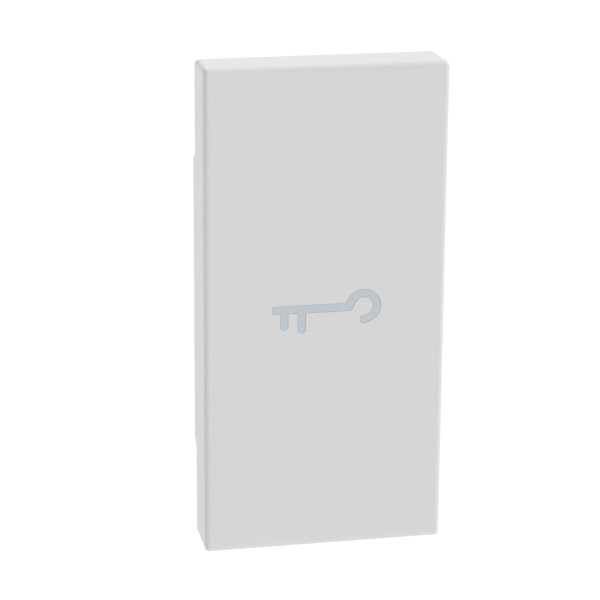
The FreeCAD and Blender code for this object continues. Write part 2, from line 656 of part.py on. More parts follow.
def make_light_guide():
    """The clear block that carries the light from the lamp to the symbol."""
    guide = new_body("guide")
    across = both("size.symbol_plate_width / 2 - size.symbol_fit")
    up = both("size.symbol_plate_height / 2 - size.symbol_fit")
    pad(guide, ("at.face_rear", "at.guide_ledge"), rectangle(across, up))
    root = rectangle(both("size.guide_root_width / 2"), both("size.guide_root_height / 2"))
    tip = rectangle(both("size.guide_tip_width / 2"), both("size.guide_tip_height / 2"))
    stem = guide.newObject("PartDesign::AdditiveLoft", "guide_stem")
    stem.Profile = new_sketch(guide, "XZ_Plane", "-at.guide_ledge", [root])
    stem.Sections = [new_sketch(guide, "XZ_Plane", "-at.guide_tip", [tip])]
    stem.Ruled = True
    return subpart(guide, "light_guide")


# Key carrier, return springs and stabiliser wire


def make_key_carrier():
    """The plate that the cover snaps on, with all that reaches back from it."""
    carrier = new_body("carrier")
    plate = rectangle(
        both("at.inner_half_width - size.carrier_fit"), both("at.inner_half_height - size.carrier_fit")
    )
    pad(carrier, ("at.face_rear", "at.carrier_rear"), plate)
    for side in (1, -1):
        for end in (1, -1):
            outer = "at.inner_half_width - size.carrier_fit - size.carrier_rim"
            across = ordered(side, f"{outer} - size.carrier_window_width", outer)
            start = "size.carrier_window_start"
            up = ordered(end, start, f"{start} + size.carrier_window_length")
            pocket(carrier, ("at.face_rear", "at.carrier_rear"), rectangle(across, up))
    flange = rectangle(both("size.symbol_plate_width / 2"), both("size.symbol_plate_height / 2"))
    pocket(carrier, ("at.face_rear", "at.guide_ledge"), flange)
    opening = rectangle(
        both("size.guide_root_width / 2 + size.guide_margin"),
        both("size.guide_root_height / 2 + size.guide_margin"),
    )
    pocket(carrier, ("at.guide_ledge", "at.carrier_rear"), opening)
    root = "at.carrier_rear - size.carrier_wall / 2"
    pushers = [circle("0", signed(end, "at.switch_place"), "size.pusher_radius") for end in (1, -1)]
    pad(carrier, (root, "at.carrier_rear + size.pusher_height"), *pushers)
    pin = "size.spring_diameter / 2 - size.spring_wire - size.spring_pin_gap"
    pins = [circle("0", signed(end, "at.spring_place"), pin) for end in (1, -1)]
    pad(carrier, (root, "at.carrier_rear + size.spring_pin_height"), *pins)
    for end in (1, -1):
        legs = []
        barbs = []
        for side in (1, -1):
            across = around(signed(side, "size.leg_place"), "size.leg_width")
            legs.append(rectangle(across, ordered(end, "at.leg_inner", "at.leg_outer")))
            barbs.append(rectangle(across, ordered(end, "at.leg_inner", "at.leg_outer + size.barb_reach")))
        pad(carrier, (root, "at.barb_rear"), *legs)
        pad(carrier, ("at.barb_front", "at.barb_rear"), *barbs)
        up = ordered(end, "at.lug_start", "at.lug_end")
        pad(carrier, (root, "at.lug_rear"), rectangle(around("at.tip_place", "size.lug_width"), up))
        slot = rectangle(
            around("at.tip_place", "size.wire_diameter + 2 * size.lug_side_room"),
            ("at.tip_depth - at.lug_half_gap", "at.tip_depth + at.lug_half_gap"),
        )
        centre = signed(end, "(at.lug_start + at.lug_end) / 2")
        pocket_across(carrier, "XY_Plane", centre, "size.lug_length + 2 * size.lug_room", slot)
    return subpart(carrier, "key_carrier")


def arc_from(start, direction, end):
    """The arc that leaves start along a direction and reaches end."""
    chord = end - start
    sideways = chord - direction * chord.dot(direction)
    sideways.normalize()
    radius = chord.dot(chord) / (2 * chord.dot(sideways))
    centre = start + sideways * radius
    outward = (start - centre) + (end - centre)
    outward.normalize()
    return Part.Arc(start, centre + outward * radius, end).toShape()


def biarc(start, start_way, end, end_way):
    """Two arcs that join two points and are tangent to a direction at each of them."""
    chord = end - start
    ways = start_way + end_way
    closing = 2 * (1 - start_way.dot(end_way))
    reach = chord.dot(ways)
    handle = (math.sqrt(reach * reach + closing * chord.dot(chord)) - reach) / closing
    middle = (start + start_way * handle + end - end_way * handle) * 0.5
    second = arc_from(end, end_way * -1, middle)
    return [arc_from(start, start_way, middle), second]


def make_return_spring(label, end):
    """A coil between the carrier and its cup in the deck, wound as one tube."""
    wire = evaluate("size.spring_wire")
    radius = (evaluate("size.spring_diameter") - wire) / 2
    turns = evaluate("size.spring_turns")
    low = evaluate("at.carrier_rear") + wire / 2
    high = evaluate("at.cup_rear") - wire / 2
    pitch = (high - low) / turns
    centre_up = end * evaluate("at.spring_place")

    def point(turn):
        angle = 2 * math.pi * turn
        return V(radius * math.cos(angle), low + pitch * turn, centre_up + radius * math.sin(angle))

    def way(turn):
        angle = 2 * math.pi * turn
        along = V(-radius * math.sin(angle), pitch / (2 * math.pi), radius * math.cos(angle))
        return along.normalize()

    steps = round(4 * turns)
    edges = []
    for step in range(steps):
        start = step * turns / steps
        following = (step + 1) * turns / steps
        edges += biarc(point(start), way(start), point(following), way(following))
    path = Part.Wire(edges)
    section = Part.Wire([Part.Circle(point(0), way(0), wire / 2).toShape()])
    spring = doc.addObject("Part::Feature", f"spring_{label}")
    spring.Shape = path.makePipeShell([section], True, False)
    samples = path.discretize(200)
    apart = 200 / turns / 2
    gap = min(
        samples[i].distanceToPoint(samples[j]) - wire
        for i in range(len(samples))
        for j in range(i)
        if i - j > apart
    )
    print(f"{label}: least gap between turns {gap:.2f} mm")
    return subpart(spring, label)


def make_stabiliser_wire():
    """A bent wire: a long shaft along the key, two arms and two tips that sit in the carrier's lugs."""
    body = new_body("wire")
    tip = "size.wire_arm"
    corners = (
        (tip, "at.tip_end"),
        (tip, "at.wire_reach"),
        ("0", "at.wire_reach"),
        ("0", "-at.wire_reach"),
        (tip, "-at.wire_reach"),
        (tip, "-at.tip_end"),
    )
    path = new_sketch(body, "XZ_Plane", "0", [rounded_path(corners, "size.wire_bend")])
    section = new_sketch(body, "XY_Plane", "at.tip_end", [circle(tip, "0", "size.wire_diameter / 2")])
    pipe = body.newObject("PartDesign::AdditivePipe", "wire_pipe")
    pipe.Profile = section
    pipe.Spine = path
    doc.recompute()
    body.Placement.Rotation = FreeCAD.Rotation(V(0, 0, 1), 0)
    body.setExpression("Placement.Base.x", "-size.wire_place")
    body.setExpression("Placement.Base.y", "at.wire_depth")
    body.setExpression("Placement.Rotation.Axis.z", "1")
    body.setExpression("Placement.Rotation.Angle", "-at.swing_half")
    return subpart(body, "stabiliser_wire")


def rounded_path(corners, radius):
    """An open path along X and Z through the corners, each corner rounded by the same radius."""

    def draw(sketch):
        bend = evaluate(radius)
        points = [V(evaluate(across), evaluate(up), 0) for across, up in corners]
        ways = [(b - a).normalize() for a, b in zip(points, points[1:])]
        lines = []
        for i, way in enumerate(ways):
            start = points[i] if i == 0 else points[i] + way * bend
            end = points[i + 1] if i == len(ways) - 1 else points[i + 1] - way * bend
            lines.append(sketch.addGeometry(Part.LineSegment(start, end), False))
        for i, (line, way) in enumerate(zip(lines, ways)):
            upright = abs(way.y) > abs(way.x)
            sketch.addConstraint(Sketcher.Constraint("Vertical" if upright else "Horizontal", line))
            kind, formula = ("DistanceX", corners[i][0]) if upright else ("DistanceY", corners[i][1])
            bind_place(sketch, kind, line, 1, formula)
        for i in range(len(ways) - 1):
            corner = points[i + 1]
            centre = corner - ways[i] * bend + ways[i + 1] * bend
            middle = centre + (corner - centre).normalize() * bend
            curve = Part.Arc(corner - ways[i] * bend, middle, corner + ways[i + 1] * bend)
            arc = sketch.addGeometry(curve, False)
            forward = sketch.getPoint(arc, 1).distanceToPoint(corner - ways[i] * bend) < bend / 10
            first, last = (1, 2) if forward else (2, 1)
            sketch.addConstraint(Sketcher.Constraint("Tangent", lines[i], 2, arc, first))
            sketch.addConstraint(Sketcher.Constraint("Tangent", arc, last, lines[i + 1], 1))
            index = sketch.addConstraint(Sketcher.Constraint("Radius", arc, bend))
            sketch.renameConstraint(index, f"bend{arc}")
            sketch.setExpression(f"Constraints.bend{arc}", radius)
        bind_place(sketch, "DistanceY", lines[0], 1, corners[0][1])
        bind_place(sketch, "DistanceY", lines[-1], 2, corners[-1][1])

    return draw


def bind_place(sketch, way, edge, end, formula):
    """Binds one coordinate of an edge's end to a formula."""
    index = sketch.addConstraint(Sketcher.Constraint(way, -1, 1, edge, end, evaluate(formula)))
    name = f"{way}{edge}_{end}"
    sketch.renameConstraint(index, name)
    sketch.setExpression(f"Constraints.{name}", formula)


# Front frame


def make_front_frame():
    """The tray under the key, with the flange that lies on the support frame."""
    frame = new_body("frame")
    tray = rectangle(both("at.tray_half_width"), both("at.tray_half_height"))
    pad(frame, ("at.deck_front", "size.seat_step"), tray)
    flange = rectangle(
        both("at.cover_half_width - size.flange_side_inset"),
        both("at.cover_half_height - size.flange_end_inset"),
    )
    pad(frame, ("at.flange_front", "0"), flange)
    room = rectangle(both("at.room_half_width"), both("at.room_half_height"))
    pocket(frame, ("at.deck_rear", "size.seat_step"), room)
    windows = []
    for end in (1, -1):
        past_hook = "at.rear_half_height + size.snap_reach + size.snap_window"
        up = ordered(end, "at.tray_half_height", past_hook)
        windows.append(rectangle(both("size.snap_width / 2 + size.snap_window"), up))
    pocket(frame, ("at.flange_front", "0"), *windows)
    on_deck = ("at.sleeve_front", "at.deck_front + size.deck_wall / 2")
    bosses = screw_circles("size.boss_radius")
    pad(frame, on_deck, *bosses)
    pad(frame, ("at.deck_rear - size.deck_wall / 2", "at.board_front"), *bosses)
    sleeves = []
    openings = []
    for side in (1, -1):
        for end in (1, -1):
            leg = signed(side, "size.leg_place")
            room = "size.leg_width + 2 * size.leg_fit"
            walled = around(leg, f"{room} + 2 * size.sleeve_wall")
            sleeves.append(rectangle(walled, ordered(end, "at.leg_inner", "at.tray_half_height")))
            flexing = ordered(end, "at.leg_inner - size.leg_flex", "at.room_half_height")
            openings.append(rectangle(around(leg, room), flexing))
    pad(frame, on_deck, *sleeves)
    pocket(frame, ("at.sleeve_front", "at.deck_rear"), *openings)
    shroud = "size.guide_root_width / 2 + size.shroud_gap"
    shroud_up = "size.guide_root_height / 2 + size.shroud_gap"
    pad(
        frame,
        on_deck,
        rectangle(both(f"{shroud} + size.shroud_wall"), both(f"{shroud_up} + size.shroud_wall")),
    )
    pocket(frame, ("at.sleeve_front", "at.deck_rear"), rectangle(both(shroud), both(shroud_up)))
    switch_room = "size.switch_width + 2 * size.switch_room"
    for end in (1, -1):
        seat = around(signed(end, "at.switch_place"), switch_room)
        pocket(frame, ("at.deck_front", "at.deck_rear"), rectangle(around("0", switch_room), seat))
        cup = circle("0", signed(end, "at.spring_place"), "at.cup_radius")
        pocket(frame, ("at.deck_front", "at.cup_rear"), cup)
        add_wire_bearing(frame, end)
        arm_half = "size.wire_diameter / 2 + size.arm_room"
        room_right = "at.tip_place + size.lug_width / 2 + size.lug_room"
        lug_left = "at.tip_place - size.lug_width / 2 - size.lug_room"
        arm_left = "-size.wire_place"
        near_arm = signed(end, f"at.wire_reach - ({arm_half})")
        past_arm = signed(end, f"at.wire_reach + {arm_half}")
        past_lug = signed(end, "at.lug_end + size.lug_room")
        opening = polygon(
            (arm_left, near_arm),
            (room_right, near_arm),
            (room_right, past_lug),
            (lug_left, past_lug),
            (lug_left, past_arm),
            (arm_left, past_arm),
        )
        pocket(frame, ("at.deck_front", "at.deck_rear"), opening)
        for side in (1, -1):
            window = rectangle(
                around(signed(side, "size.leg_place"), "size.leg_width + 2 * size.barb_room"),
                ordered(end, "at.room_half_height - size.leg_fit", "at.tray_half_height + size.leg_fit"),
            )
            depth = ("at.deck_front + size.barb_stop", "at.barb_rear + size.key_travel + size.barb_room")
            pocket(frame, depth, window)
    pilots = screw_circles("size.screw_radius + size.screw_fit")
    pocket(frame, ("at.sleeve_front + size.boss_end_wall", "at.board_front"), *pilots)
    return subpart(frame, "front_frame")


def add_wire_bearing(frame, end):
    """A clip on the deck that the wire's shaft turns in."""
    centre = signed(end, "at.bearing_place")
    across = around("-size.wire_place", "2 * at.bearing_half")
    up = around(centre, "size.bearing_length")
    pad(frame, ("at.sleeve_front", "at.deck_front + size.deck_wall / 2"), rectangle(across, up))
    bore = circle("-size.wire_place", "at.wire_depth", "size.wire_diameter / 2 + size.wire_fit")
    long_enough = "size.bearing_length + 2 * size.arm_room"
    pocket_across(frame, "XY_Plane", centre, long_enough, bore)
    mouth = rectangle(around("-size.wire_place", "size.bearing_mouth"), ("at.sleeve_front", "at.wire_depth"))
    pocket_across(frame, "XY_Plane", centre, long_enough, mouth)


# Circuit board and what is soldered on it


def make_circuit_board():
    """The board between the front frame and the rear housing's posts."""
    board = new_body("board")
    outline = rectangle(both("at.board_half_width"), both("at.board_half_height"))
    pad(board, ("at.board_front", "at.board_rear"), outline)
    holes = screw_circles("size.screw_radius + size.screw_play")
    pocket(board, ("at.board_front", "at.board_rear"), *holes)
    return subpart(board, "circuit_board")


def make_switch(name, end):
    """A long-stroke push switch: base, dome, plunger and metal cover."""
    centre = signed(end, "at.switch_place")
    across = both("size.switch_width / 2")
    up = around(centre, "size.switch_width")
    base = block(f"{name}_case", across, ("at.switch_open", "at.board_front"), up)
    cavity = rod(f"{name}_cavity", "0", centre, ("at.switch_open", "at.switch_bottom"), "at.cavity_radius")
    subpart(cut(f"{name}_hollow", base, cavity), f"{name}_base")

    sheet = block(f"{name}_sheet", across, ("at.switch_front", "at.switch_open"), up)
    hole = rod(
        f"{name}_hole",
        "0",
        centre,
        ("at.switch_front", "at.switch_open"),
        "size.plunger_radius + size.plunger_fit",
    )
    subpart(cut(f"{name}_plate", sheet, hole), f"{name}_cover")

    stem = rod(f"{name}_stem", "0", centre, ("at.plunger_front", "at.collar_rear"), "size.plunger_radius")
    collar = rod(f"{name}_collar", "0", centre, ("at.collar_front", "at.collar_rear"), "size.collar_radius")
    subpart(fuse(f"{name}_pin", stem, collar), f"{name}_plunger")

    outer = cone(f"{name}_skin", centre, ("at.collar_rear", "at.switch_bottom"), "0")
    under_top = ("at.collar_rear + size.dome_wall", "at.switch_bottom")
    inner = cone(f"{name}_hollow_space", centre, under_top, "size.dome_wall")
    subpart(cut(f"{name}_shell", outer, inner), f"{name}_dome")


def cone(name, up, depth, inset):
    """A tapering round bar, narrow in front, its radii smaller by inset."""
    front, rear = depth
    taper = doc.addObject("Part::Cone", name)
    taper.Placement.Rotation = ALONG_Y
    taper.setExpression("Radius1", f"size.dome_top_radius - ({inset})")
    taper.setExpression("Radius2", f"at.dome_radius - ({inset})")
    taper.setExpression("Height", f"({rear}) - ({front})")
    taper.setExpression("Placement.Base.y", front)
    taper.setExpression("Placement.Base.z", up)
    return taper


def make_switch_terminals():
    """Four soldered legs for each switch, all in one group."""
    legs = []
    for end in (1, -1):
        for side in (1, -1):
            for row in (1, -1):
                name = f"terminal_{len(legs)}"
                centre = signed(end, "at.switch_place") + f" + ({row}) * size.terminal_pitch / 2"
                up = around(centre, "size.terminal_width")
                inner = "size.switch_width / 2"
                riser = block(
                    f"{name}_riser",
                    ordered(side, inner, f"{inner} + size.terminal_wall"),
                    ("at.board_front - size.terminal_rise", "at.board_front"),
                    up,
                )
                foot = block(
                    f"{name}_foot",
                    ordered(side, inner, f"{inner} + size.terminal_foot"),
                    ("at.board_front - size.terminal_wall", "at.board_front"),
                    up,
                )
                legs.append(fuse(name, riser, foot))
    return subpart(group("terminals", *legs), "switch_terminals")


def make_status_light():
    """The small lamp behind the symbol: a base and a narrower lens."""
    base = block(
        "lamp_base_block",
        both("size.lamp_width / 2"),
        ("at.board_front - size.lamp_base", "at.board_front"),
        both("size.lamp_length / 2"),
    )
    lens = block(
        "lamp_lens",
        both("size.lamp_width / 2 - size.lamp_base"),
        ("at.lamp_front", "at.board_front - size.lamp_base"),
        both("size.lamp_length / 2"),
    )
    return subpart(fuse("lamp", base, lens), "status_light")


def make_radio():
    """The radio's own small board and the shield can on it."""
    rear = "at.board_rear + size.radio_wall"
    outline = ("at.radio_left", "at.radio_right"), ("at.radio_low", "at.radio_high")
    subpart(block("radio_plate", outline[0], ("at.board_rear", rear), outline[1]), "radio_board")

    def over_radio(name, wall):
        """A box on the radio board, drawn in by a wall on every side but its open one."""
        side = f"size.shield_margin + {wall}"
        return block(
            name,
            (f"at.radio_left + {side}", f"at.radio_right - ({side})"),
            (rear, f"{rear} + size.shield_height - {wall}"),
            (
                f"at.radio_low + size.shield_low_margin + {wall}",
                f"at.radio_high - size.aerial_length - {wall}",
            ),
        )

    can = over_radio("shield_can", "0")
    hollow = over_radio("shield_hollow", "size.shield_wall")
    subpart(cut("shield", can, hollow), "radio_shield")


def make_board_parts():
    """The controller chip, the crystal and a column of small parts on the back of the board."""

    def on_board(name, across, up, width, length, height):
        depth = ("at.board_rear", f"at.board_rear + {height}")
        return block(name, around(across, width), depth, around(up, length))

    left = "-at.chip_side"
    chip = on_board("chip", left, "at.chip_rise", "size.chip_width", "size.chip_width", "size.chip_height")
    subpart(chip, "controller_chip")
    crystal = on_board(
        "crystal_can",
        left,
        "at.crystal_rise",
        "size.crystal_width",
        "size.crystal_length",
        "size.crystal_height",
    )
    subpart(crystal, "crystal")
    small = []
    for i in range(round(evaluate("size.small_count"))):
        up = f"at.small_rise + {i} * size.small_step"
        part_size = ("size.small_length", "size.small_width", "size.small_height")
        small.append(on_board(f"small_{i}", left, up, *part_size))
    subpart(group("small_parts", *small), "capacitors_and_resistors")


def make_pairing_switch():
    """The small switch at the back, its plunger and the button that reaches through the housing."""
    up = "at.pairing_rise"
    case = block(
        "pairing_case",
        both("size.pairing_width / 2"),
        ("at.board_rear", "at.pairing_front"),
        around(up, "size.pairing_length"),
    )
    pin_inner = "at.pairing_front - 2 * size.pairing_travel"
    bore = rod(
        "pairing_bore",
        "0",
        up,
        (f"{pin_inner} - size.pairing_travel - size.pairing_pin_room", "at.pairing_front"),
        "size.pairing_pin_radius + size.plunger_fit",
    )
    subpart(cut("pairing_hollow", case, bore), "pairing_switch")
    pin = rod("pairing_pin", "0", up, (pin_inner, "at.pairing_pin_rear"), "size.pairing_pin_radius")
    subpart(pin, "pairing_plunger")
    reach = ("at.pairing_pin_rear", "at.back_outer - size.pairing_sink")
    stem = rod("pairing_stem", "0", up, reach, "size.pairing_radius")
    collar = rod(
        "pairing_ring",
        "0",
        up,
        ("at.back_inner - size.collar_gap - size.pairing_collar_wall", "at.back_inner - size.collar_gap"),
        "size.pairing_radius + size.pairing_collar",
    )
    return subpart(fuse("pairing_knob", stem, collar), "pairing_button")


# Battery and its contacts


def make_coin_cell():
    """The cell: the can with the smaller negative cap in front."""
    low = "-at.cell_low"
    can = rod("cell_can", "0", low, ("at.cell_front + size.cell_cap_step", "at.cell_rear"), "at.cell_radius")
    cap = rod(
        "cell_cap",
        "0",
        low,
        ("at.cell_front", "at.cell_front + size.cell_cap_step"),
        "at.cell_radius - size.cell_cap_inset",
    )
    return subpart(fuse("cell", can, cap), "coin_cell")


def make_contacts():
    """The bowed strip under the cell and the blade at its rim."""
    strip = new_body("strip")
    end = "size.contact_length / 2"
    inner = f"{end} - size.contact_foot"
    board = "at.board_rear"
    sheet = f"{board} + size.contact_wall"
    top = "at.cell_front"
    crown = "size.contact_foot / 2"
    bow = polygon(
        (f"-({end})", board),
        (f"-({inner})", board),
        (f"-({crown})", f"{top} - size.contact_wall"),
        (crown, f"{top} - size.contact_wall"),
        (inner, board),
        (end, board),
        (end, sheet),
        (f"{inner} - size.contact_wall / 2", sheet),
        (f"{crown} - size.contact_wall / 2", top),
        (f"-({crown} - size.contact_wall / 2)", top),
        (f"-({inner} - size.contact_wall / 2)", sheet),
        (f"-({end})", sheet),
    )
    bent = strip.newObject("PartDesign::Pad", "strip_pad")
    bent.Profile = new_sketch(strip, "XY_Plane", "-at.cell_low", [bow])
    bent.SideType = "Symmetric"
    bent.setExpression("Length", "size.contact_width")
    subpart(strip, "negative_contact")

    rim = "at.cell_radius - at.cell_low + size.blade_gap"
    across = both("size.blade_width / 2")
    blade = block(
        "blade",
        across,
        ("at.board_rear", "at.cell_rear - size.blade_short"),
        (rim, f"{rim} + size.contact_wall"),
    )
    foot = block(
        "blade_foot",
        across,
        ("at.board_rear", "at.board_rear + size.contact_wall"),
        (rim, f"{rim} + size.blade_foot"),
    )
    subpart(fuse("bent_blade", blade, foot), "positive_contact")


# Rear housing, its door and its screws


def make_rear_housing():
    """The rear shell with snap tongues, screw posts and the battery well."""
    housing = new_body("housing")
    outer = rectangle(both("at.tray_half_width"), both("at.rear_half_height"))
    pad(housing, ("size.seat_step", "at.back_outer"), outer)
    fillet(housing, "size.housing_round", lambda a, b: abs(a.y - b.y) > evaluate("size.tray_wall"))
    inner = rectangle(both("at.room_half_width"), both("at.rear_room_height"))
    pocket(housing, ("size.seat_step", "at.back_inner"), inner)
    pad(housing, ("at.board_rear", "at.back_outer - size.back_wall / 2"), *screw_circles("size.boss_radius"))
    reach = both("at.room_half_width + size.tray_wall / 2")
    partition = rectangle(reach, ("at.partition_low", "at.partition_high"))
    pad(housing, ("size.seat_step", "at.back_outer - size.back_wall / 2"), partition)
    shanks = screw_circles("size.screw_radius + size.screw_play")
    pocket(housing, ("at.board_rear", "at.back_outer"), *shanks)
    heads = screw_circles("size.screw_head_radius + size.screw_play / 2")
    pocket(housing, ("at.head_seat", "at.back_outer"), *heads)
    low = "-at.cell_low"
    pocket(housing, ("at.back_inner - size.back_wall", "at.back_outer"), circle("0", low, "at.well_radius"))
    lug_half = "size.door_lug_width / 2 + size.notch_room"
    lug_far = "at.door_radius + size.lug_out + size.notch_room"
    for side in (1, -1):
        notch = polygon(
            turned(f"-({lug_half})", signed(side, "at.door_radius - size.lug_out")),
            turned(lug_half, signed(side, "at.door_radius - size.lug_out")),
            turned(lug_half, signed(side, lug_far)),
            turned(f"-({lug_half})", signed(side, lug_far)),
        )
        pocket(housing, ("at.back_inner - size.back_wall / 2", "at.back_outer"), notch)
    button = circle("0", "at.pairing_rise", "size.pairing_radius + size.pairing_fit")
    pocket(housing, ("at.back_inner", "at.back_outer"), button)
    for end in (1, -1):
        add_snap_tongue(housing, end)
    mark_up = "at.well_radius - at.cell_low + size.lug_out + 2 * size.mark_radius"
    mark = circle("0", mark_up, "size.mark_radius")
    pocket(housing, ("at.back_outer - size.mark_depth", "at.back_outer"), mark)
    return subpart(housing, "rear_housing")


def add_snap_tongue(housing, end):
    """A springy tongue between two slits in the end wall, with a hook that grips the support frame."""
    tongue = "size.snap_width / 2"
    slits = []
    for side in (1, -1):
        across = ordered(side, tongue, f"{tongue} + size.snap_slit")
        up = ordered(end, "at.rear_room_height - size.leg_fit", "at.rear_half_height + size.leg_fit")
        slits.append(rectangle(across, up))
    pocket(housing, ("size.seat_step + size.snap_root", "at.back_outer"), *slits)
    wall = signed(end, "at.rear_half_height - size.tray_wall / 2")
    tip = signed(end, "at.rear_half_height + size.snap_reach")
    ramp_end = signed(end, "at.rear_half_height")
    hook = polygon(
        ("at.snap_front", wall),
        ("at.snap_front", tip),
        ("at.snap_front + size.snap_height / 4", tip),
        ("at.snap_rear", ramp_end),
        ("at.snap_rear", wall),
    )
    pad_across(housing, "0", "size.snap_width", hook)


def make_battery_door():
    """The round door with two lugs, a coin slot and a mark."""
    door = new_body("door")
    low = "-at.cell_low"
    pad(door, ("at.door_front", "at.back_outer"), circle("0", low, "at.door_radius"))
    across = both("size.door_lug_width / 2")
    lug_rear = "at.back_inner - size.door_lug_gap"
    for side in (1, -1):
        start, stop = ordered(side, "at.cell_radius - size.lug_out", "at.door_radius + size.lug_out")
        lug = rectangle(across, (f"{start} - at.cell_low", f"{stop} - at.cell_low"))
        pad(door, (f"{lug_rear} - size.door_lug_wall", lug_rear), lug)
    slot = rectangle(both("size.coin_slot_length / 2"), around(low, "size.coin_slot_width"))
    pocket(door, ("at.back_outer - size.coin_slot_depth", "at.back_outer"), slot)
    mark_up = "at.door_radius - at.cell_low - 3 * size.mark_radius"
    pocket(
        door, ("at.back_outer - size.mark_depth", "at.back_outer"), circle("0", mark_up, "size.mark_radius")
    )
    return subpart(door, "battery_door")


def make_case_screws():
    """Four self-tapping screws with a cross recess."""
    screws = []
    for side in (1, -1):
        for end in (1, -1):
            name = f"screw_{len(screws)}"
            across = signed(side, "at.screw_side")
            up = signed(end, "at.screw_reach")
            head_rear = "at.head_seat + size.screw_head_height"
            shank = rod(f"{name}_shank", across, up, ("at.screw_tip", "at.head_seat"), "size.screw_radius")
            head = rod(f"{name}_head", across, up, ("at.head_seat", head_rear), "size.screw_head_radius")
            depth = (f"{head_rear} - size.screw_head_height / 2", head_rear)
            long = "1.3 * size.screw_head_radius"
            narrow = "size.screw_head_radius / 3"
            bar = block(f"{name}_bar", around(across, long), depth, around(up, narrow))
            cross = block(f"{name}_cross", around(across, narrow), depth, around(up, long))
            screws.append(cut(name, fuse(f"{name}_blank", shank, head), bar, cross))
    return subpart(group("screws", *screws), "case_screws")


make_key_cover()
make_key_symbol()
make_light_guide()
make_key_carrier()
make_return_spring("upper_return_spring", 1)
make_return_spring("lower_return_spring", -1)
make_stabiliser_wire()
make_front_frame()
make_circuit_board()
make_switch("upper_switch", 1)
make_switch("lower_switch", -1)
make_switch_terminals()
make_status_light()
make_radio()
make_board_parts()
make_pairing_switch()
make_coin_cell()
make_contacts()
make_rear_housing()
make_battery_door()
make_case_screws()
doc.recompute()

for piece in doc.Objects:
    if "Invalid" in piece.State or "Error" in piece.State:
        raise RuntimeError(f"{piece.Label} failed: {piece.State}")
for removal in removals:
    if not removal.Shape.Volume < removal.BaseFeature.Shape.Volume:
        raise RuntimeError(f"{removal.Name} takes nothing away")
for piece in subparts:
    if piece.Shape.isNull() or not piece.Shape.isValid():
        raise RuntimeError(f"{piece.Label} has no valid shape")

os.makedirs("parts", exist_ok=True)
for piece in subparts:
    piece.Shape.exportStep(f"parts/{piece.Label}.step")
    print(piece.Label, len(piece.Shape.Solids), round(piece.Shape.Volume, 3))
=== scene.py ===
"""Studio scene of a one-module smart dimmer insert: white key cover with a key-shaped light.

The solids come from the frame at real size. This script paints them, builds the pieces whose look
matters most as smooth meshes, and lights them so that a painted colour shows about as written.
All sizes are in millimetres unless a name says otherwise; X runs right, Z up, the wall is toward +Y.
"""

import logging
import math
from dataclasses import dataclass, replace
from enum import Enum
from itertools import product
from typing import Any, Sequence

import bmesh
import bpy
import numpy as np
from mathutils import Matrix, Vector
from mathutils.geometry import delaunay_2d_cdt


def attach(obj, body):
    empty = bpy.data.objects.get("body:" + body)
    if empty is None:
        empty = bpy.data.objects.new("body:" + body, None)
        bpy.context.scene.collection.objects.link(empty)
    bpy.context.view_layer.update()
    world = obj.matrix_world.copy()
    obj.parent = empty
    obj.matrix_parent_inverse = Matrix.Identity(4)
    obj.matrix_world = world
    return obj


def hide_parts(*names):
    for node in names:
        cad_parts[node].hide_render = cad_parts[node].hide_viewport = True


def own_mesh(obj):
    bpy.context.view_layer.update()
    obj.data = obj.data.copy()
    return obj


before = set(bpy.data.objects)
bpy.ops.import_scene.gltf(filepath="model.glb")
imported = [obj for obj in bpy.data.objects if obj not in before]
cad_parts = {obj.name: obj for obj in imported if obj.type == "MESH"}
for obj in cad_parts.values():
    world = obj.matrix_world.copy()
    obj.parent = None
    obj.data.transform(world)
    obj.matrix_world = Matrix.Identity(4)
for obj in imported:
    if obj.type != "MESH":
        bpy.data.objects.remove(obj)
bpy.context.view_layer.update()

LOG = logging.getLogger("scene")
MM = 0.001
BOTH_SIDES = (-1, 1)

# A brushed line is this many times as long as it is wide
LINE_STRETCH = 30
# A pattern this long doesn't change along its direction
ENDLESS = 1000.0
# How deep light goes into a surface that scatters it, in mm
SCATTER_DEPTH = 0.4
# The lowest roughness that a finish may reach
SMOOTHEST = 0.02


# Colours and shader nodes


def linear(colour: str, alpha: float = 1.0) -> tuple[float, float, float, float]:
    """Turns a written sRGB colour into the linear values that the renderer works with.

    Args:
        colour: six hexadecimal digits with a leading #.
        alpha: opacity, written behind the three values.

    Returns:
        Red, green, blue and alpha.
    """
    parts = np.array([int(colour[i : i + 2], 16) for i in (1, 3, 5)]) / 255
    red, green, blue = np.where(parts <= 0.04045, parts / 12.92, ((parts + 0.055) / 1.055) ** 2.4)
    return float(red), float(green), float(blue), alpha


def add_node(
    tree: bpy.types.NodeTree,
    kind: str,
    settings: dict[str | int, Any] | None = None,
    links: dict[str | int, bpy.types.NodeSocket] | None = None,
) -> bpy.types.Node:
    """Adds one shader node with its settings and incoming links.

    Args:
        tree: the node tree.
        kind: the node's type name without the leading "ShaderNode".
        settings: values by name or number; a socket is set if there is one, otherwise a property.
        links: outgoing sockets of other nodes, by the name or number of this node's input.

    Returns:
        The new node.
    """
    node = tree.nodes.new(f"ShaderNode{kind}")
    properties = {k: v for k, v in (settings or {}).items() if isinstance(k, str) and hasattr(node, k)}
    for name, value in properties.items():
        setattr(node, name, value)
    for name, value in (settings or {}).items():
        if name not in properties:
            node.inputs[name].default_value = value
    for name, socket in (links or {}).items():
        tree.links.new(socket, node.inputs[name])
    return node


